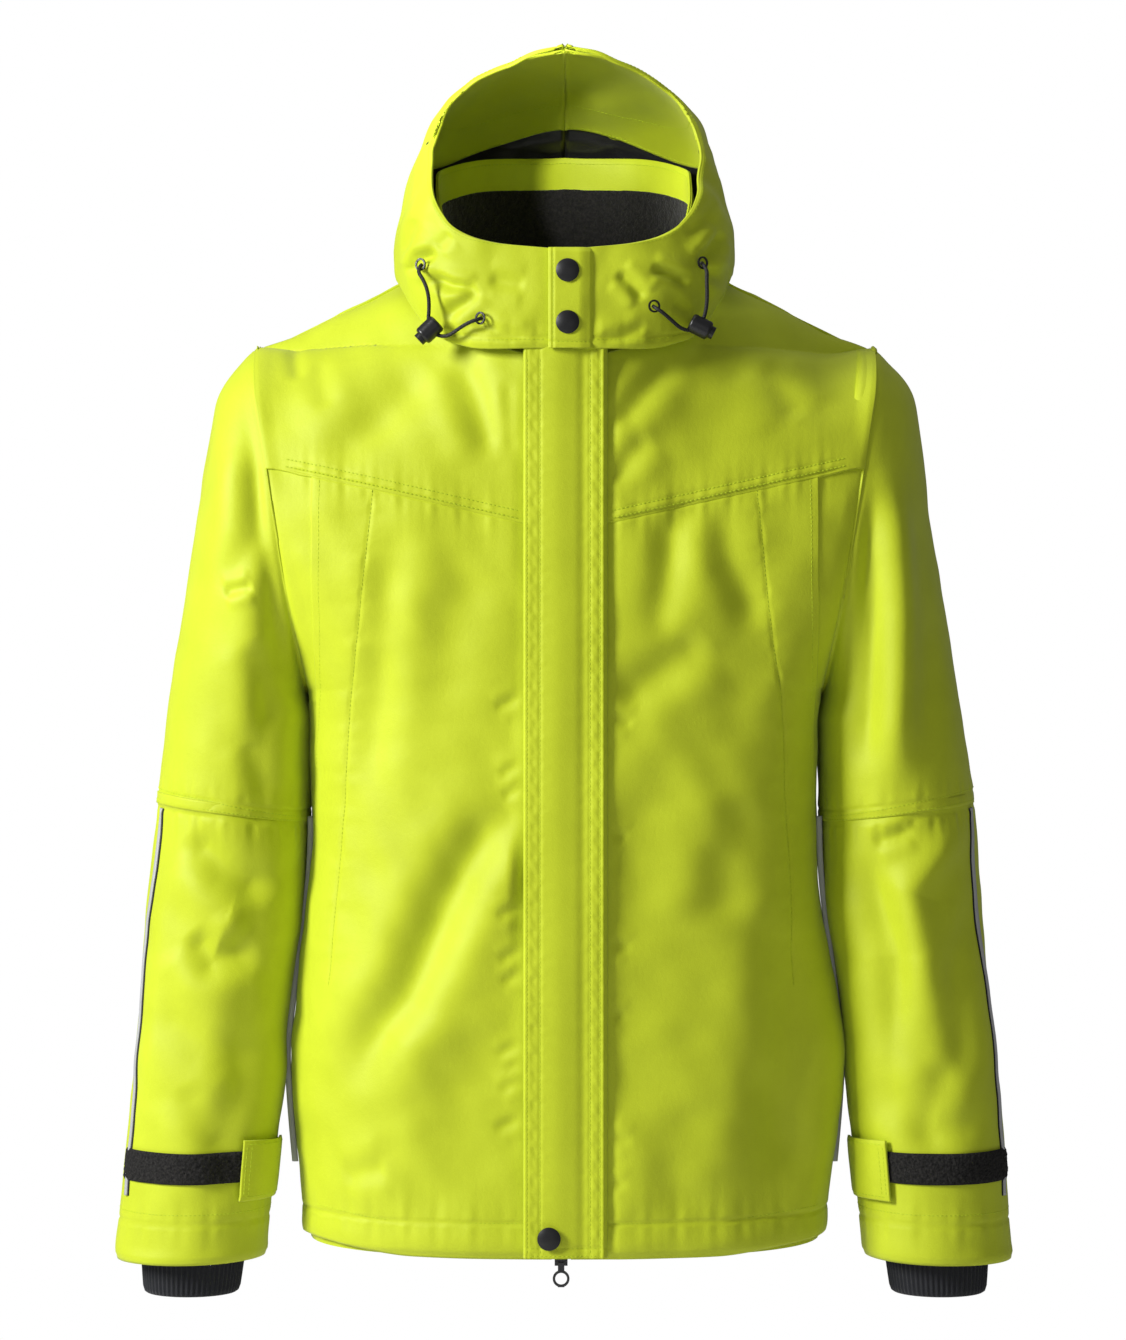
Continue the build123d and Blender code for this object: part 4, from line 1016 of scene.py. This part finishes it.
x = np.linspace(-32.5, 33.0, 90)[None, :]
z = np.linspace(FLAP_BOTTOM_Z, FLAP_TOP_Z + 6, 560)[:, None]
points, normals = flap_surface(x + 0 * z, z + 0 * x)
flap = grid_object("storm_flap_cloth", points, normals, LIME, thickness=1.8)
finish_piece(flap, "storm_flap", "shell_fabric", "storm_flap")
rows = []
down = np.linspace(-748, -52, 700)
for place in FLAP_STITCH_X:
    rows.append(flap_surface(np.full(down.shape, place), down))
across = np.linspace(-29, 27, 80)
for place in (-748.0, -742.0):
    rows.append(flap_surface(across, np.full(across.shape, place)))
finish_piece(stitches("storm_flap_thread", rows), "storm_flap", "shell_fabric")

x = np.linspace(-13, 24.5, 60)[None, :]
z = np.linspace(HOOD_BOTTOM_FRONT_Z, CHIN_Z + 1, 100)[:, None]


def chin_surface(x, z):
    edge = smooth(24.5, 10, x)
    y = -213.9 - 3.4 * edge - 0.5 * waves(stack(x, 0 * x, z), 91, 40) * edge
    y += 0.7 * np.exp(-((x + 9.5) / 1.2) ** 2) + 1.2 * smooth(3, 0, x + 13)
    y += 0.6 * np.exp(-((z + 41) / 1.3) ** 2) + 1.5 * smooth(CHIN_Z - 3, CHIN_Z + 1, z)
    y += 2.6 * smooth(19, 24.5, x)
    return stack(x, y, z), stack(0 * x, -1.0 + 0 * x, 0 * x)


points, normals = chin_surface(x + 0 * z, z + 0 * x)
chin = grid_object("chin_flap_cloth", points, normals, LIME, thickness=1.8)
finish_piece(chin, "chin_flap", "shell_fabric", "chin_flap")
down, over = np.linspace(-44, 29, 120), np.linspace(-9, 22, 50)
rows = [chin_surface(np.full(down.shape, -9.5), down), chin_surface(over, np.full(over.shape, -41.0))]
finish_piece(stitches("chin_flap_thread", rows), "chin_flap", "shell_fabric")


# ---------------------------------------------------------------- thread on the body
def body_rows(angle, z, lift=0.0):
    return surface(body_point, angle, z, body_relief, body_core, lift)


rows = []
for sign in (1, -1):
    for offset in (2.6, 8.5):
        x = np.linspace(34.5, 221, 420)
        z = yoke_line(x) + offset
        rows.append(body_rows(sign * front_angle(x, z), z, 1.0))
    # The row beside the welt lies twice in the same place.
    z = np.linspace(-545, -140, 500)
    rows += [body_rows(sign * front_angle(along(WELT_INNER, z), z), z)] * 2
    z = np.linspace(-450, -140, 420)
    rows.append(body_rows(sign * (along(WELT_ANGLE, z) - 1.6), z))
    x = np.linspace(34.5, 200, 380)
    z = np.full(x.shape, HEM_Z + HEM_TUNNEL) + 8 * smooth(120, 212, x) * 0.7
    rows.append(body_rows(sign * front_angle(x, z), z))
angle = np.linspace(82, 278, 900)
rows.append(body_rows(angle, np.full(angle.shape, HEM_Z + HEM_TUNNEL)))
for offset in (2.6, 8.5):
    rows.append(body_rows(angle, np.full(angle.shape, BACK_YOKE_Z + offset), 1.0))
finish_piece(stitches("body_thread", rows), "torso", "shell_fabric")

for sign, side in SIGNS:
    angle, z = block(sign * 30, sign * 62, -560, -380, 40, 60)
    points, normals = surface(body_point, angle, z, None, body_core, lift=-14.5)
    pocket = grid_object("pocket_bag_cloth_" + side, points, normals, SATIN, thickness=0.8)
    finish_piece(pocket, "torso", "lining_satin", "pocket_bag_" + side)
for start, end, label in ((18, 84, "left"), (96, 264, "back"), (276, 342, "right")):
    angle, z = block(start, end, HEM_Z + HEM_TUNNEL + 4, -200, 70, 120)
    points, normals = surface(body_point, angle, z, lambda p, n: waves(p, 55, 60) * 1.5, body_core,
                              lift=-18.0)
    part = grid_object("body_lining_cloth_" + label, points, normals, SATIN, thickness=0.8)
    finish_piece(part, "torso", "lining_satin", *(["body_lining"] if label == "back" else []))


# ---------------------------------------------------------------- stage and lights
def plain(name, colour):
    mat, nodes, links, shader = new_material(name)
    shader.inputs["Base Color"].default_value = (*colour, 1)
    shader.inputs["Roughness"].default_value = 0.9
    return mat


def floor():
    turns = np.linspace(0, 2 * math.pi, 64, endpoint=False)
    points = np.array([(1550 * math.cos(t), 1550 * math.sin(t) - 380, -1120) for t in turns])
    return mesh_object("studio_floor", points, [tuple(range(64))], plain("floor", (0.86, 0.86, 0.85)))


floor()


def area_light(name, location, target, size, energy):
    data = bpy.data.lights.new(name, "AREA")
    data.shape = "RECTANGLE"
    data.size, data.size_y = size
    data.energy = energy
    lamp = bpy.data.objects.new(name, data)
    scene.collection.objects.link(lamp)
    lamp.location = location
    direction = Vector(target) - Vector(location)
    lamp.rotation_euler = direction.to_track_quat("-Z", "Y").to_euler()


area_light("key", (-2.4, -1.5, 0.8), (0, -0.1, -0.3), (0.7, 1.0), 108)
area_light("fill", (0.6, -2.9, -0.2), (0, -0.1, -0.3), (1.6, 1.6), 4)
area_light("top", (-0.2, -0.2, 2.0), (0, -0.1, -0.3), (1.0, 1.0), 8)
spot = bpy.data.lights.new("hood_opening", "SPOT")
spot.energy, spot.spot_size, spot.spot_blend, spot.shadow_soft_size = 80, math.radians(9.5), 0.6, 0.06
lamp = bpy.data.objects.new("hood_opening", spot)
scene.collection.objects.link(lamp)
lamp.location = (-0.70, -1.25, 0.36)
lamp.rotation_euler = (Vector((0.04, 0.02, 0.145)) - lamp.location).to_track_quat("-Z", "Y").to_euler()

world = bpy.data.worlds.new("world")
scene.world = world
world.use_nodes = True
world_nodes, world_links = world.node_tree.nodes, world.node_tree.links
ambient = world_nodes["Background"]
ambient.inputs[0].default_value = (1, 1, 1, 1)
ambient.inputs[1].default_value = 0.16
paper = world_nodes.new("ShaderNodeBackground")
paper.inputs[0].default_value = (1, 1, 1, 1)
paper.inputs[1].default_value = 1.0
rays = world_nodes.new("ShaderNodeLightPath")
choose = world_nodes.new("ShaderNodeMixShader")
world_links.new(rays.outputs["Is Camera Ray"], choose.inputs[0])
world_links.new(ambient.outputs[0], choose.inputs[1])
world_links.new(paper.outputs[0], choose.inputs[2])
world_links.new(choose.outputs[0], world_nodes["World Output"].inputs[0])

# ---------------------------------------------------------------- materials of the CAD nodes that stay
SLOT_MATERIALS = {"shell_fabric": LIME, "lining_satin": SATIN, "fleece": FLEECE, "knit_rib": KNIT,
                  "hook_loop": LOOPS, "reflective": REFLECT, "snap_black": SNAP, "zip_tape": TAPE,
                  "zip_plastic": PLASTIC,
                  "zip_metal": METAL, "cord": CORD, "lock_plastic": PLASTIC}
for entry in frame["record"]["subparts"]:
    node = frame["nodes"][entry["node"]]
    for place in node.material_slots:
        place.material = SLOT_MATERIALS[entry["material_slot"]]
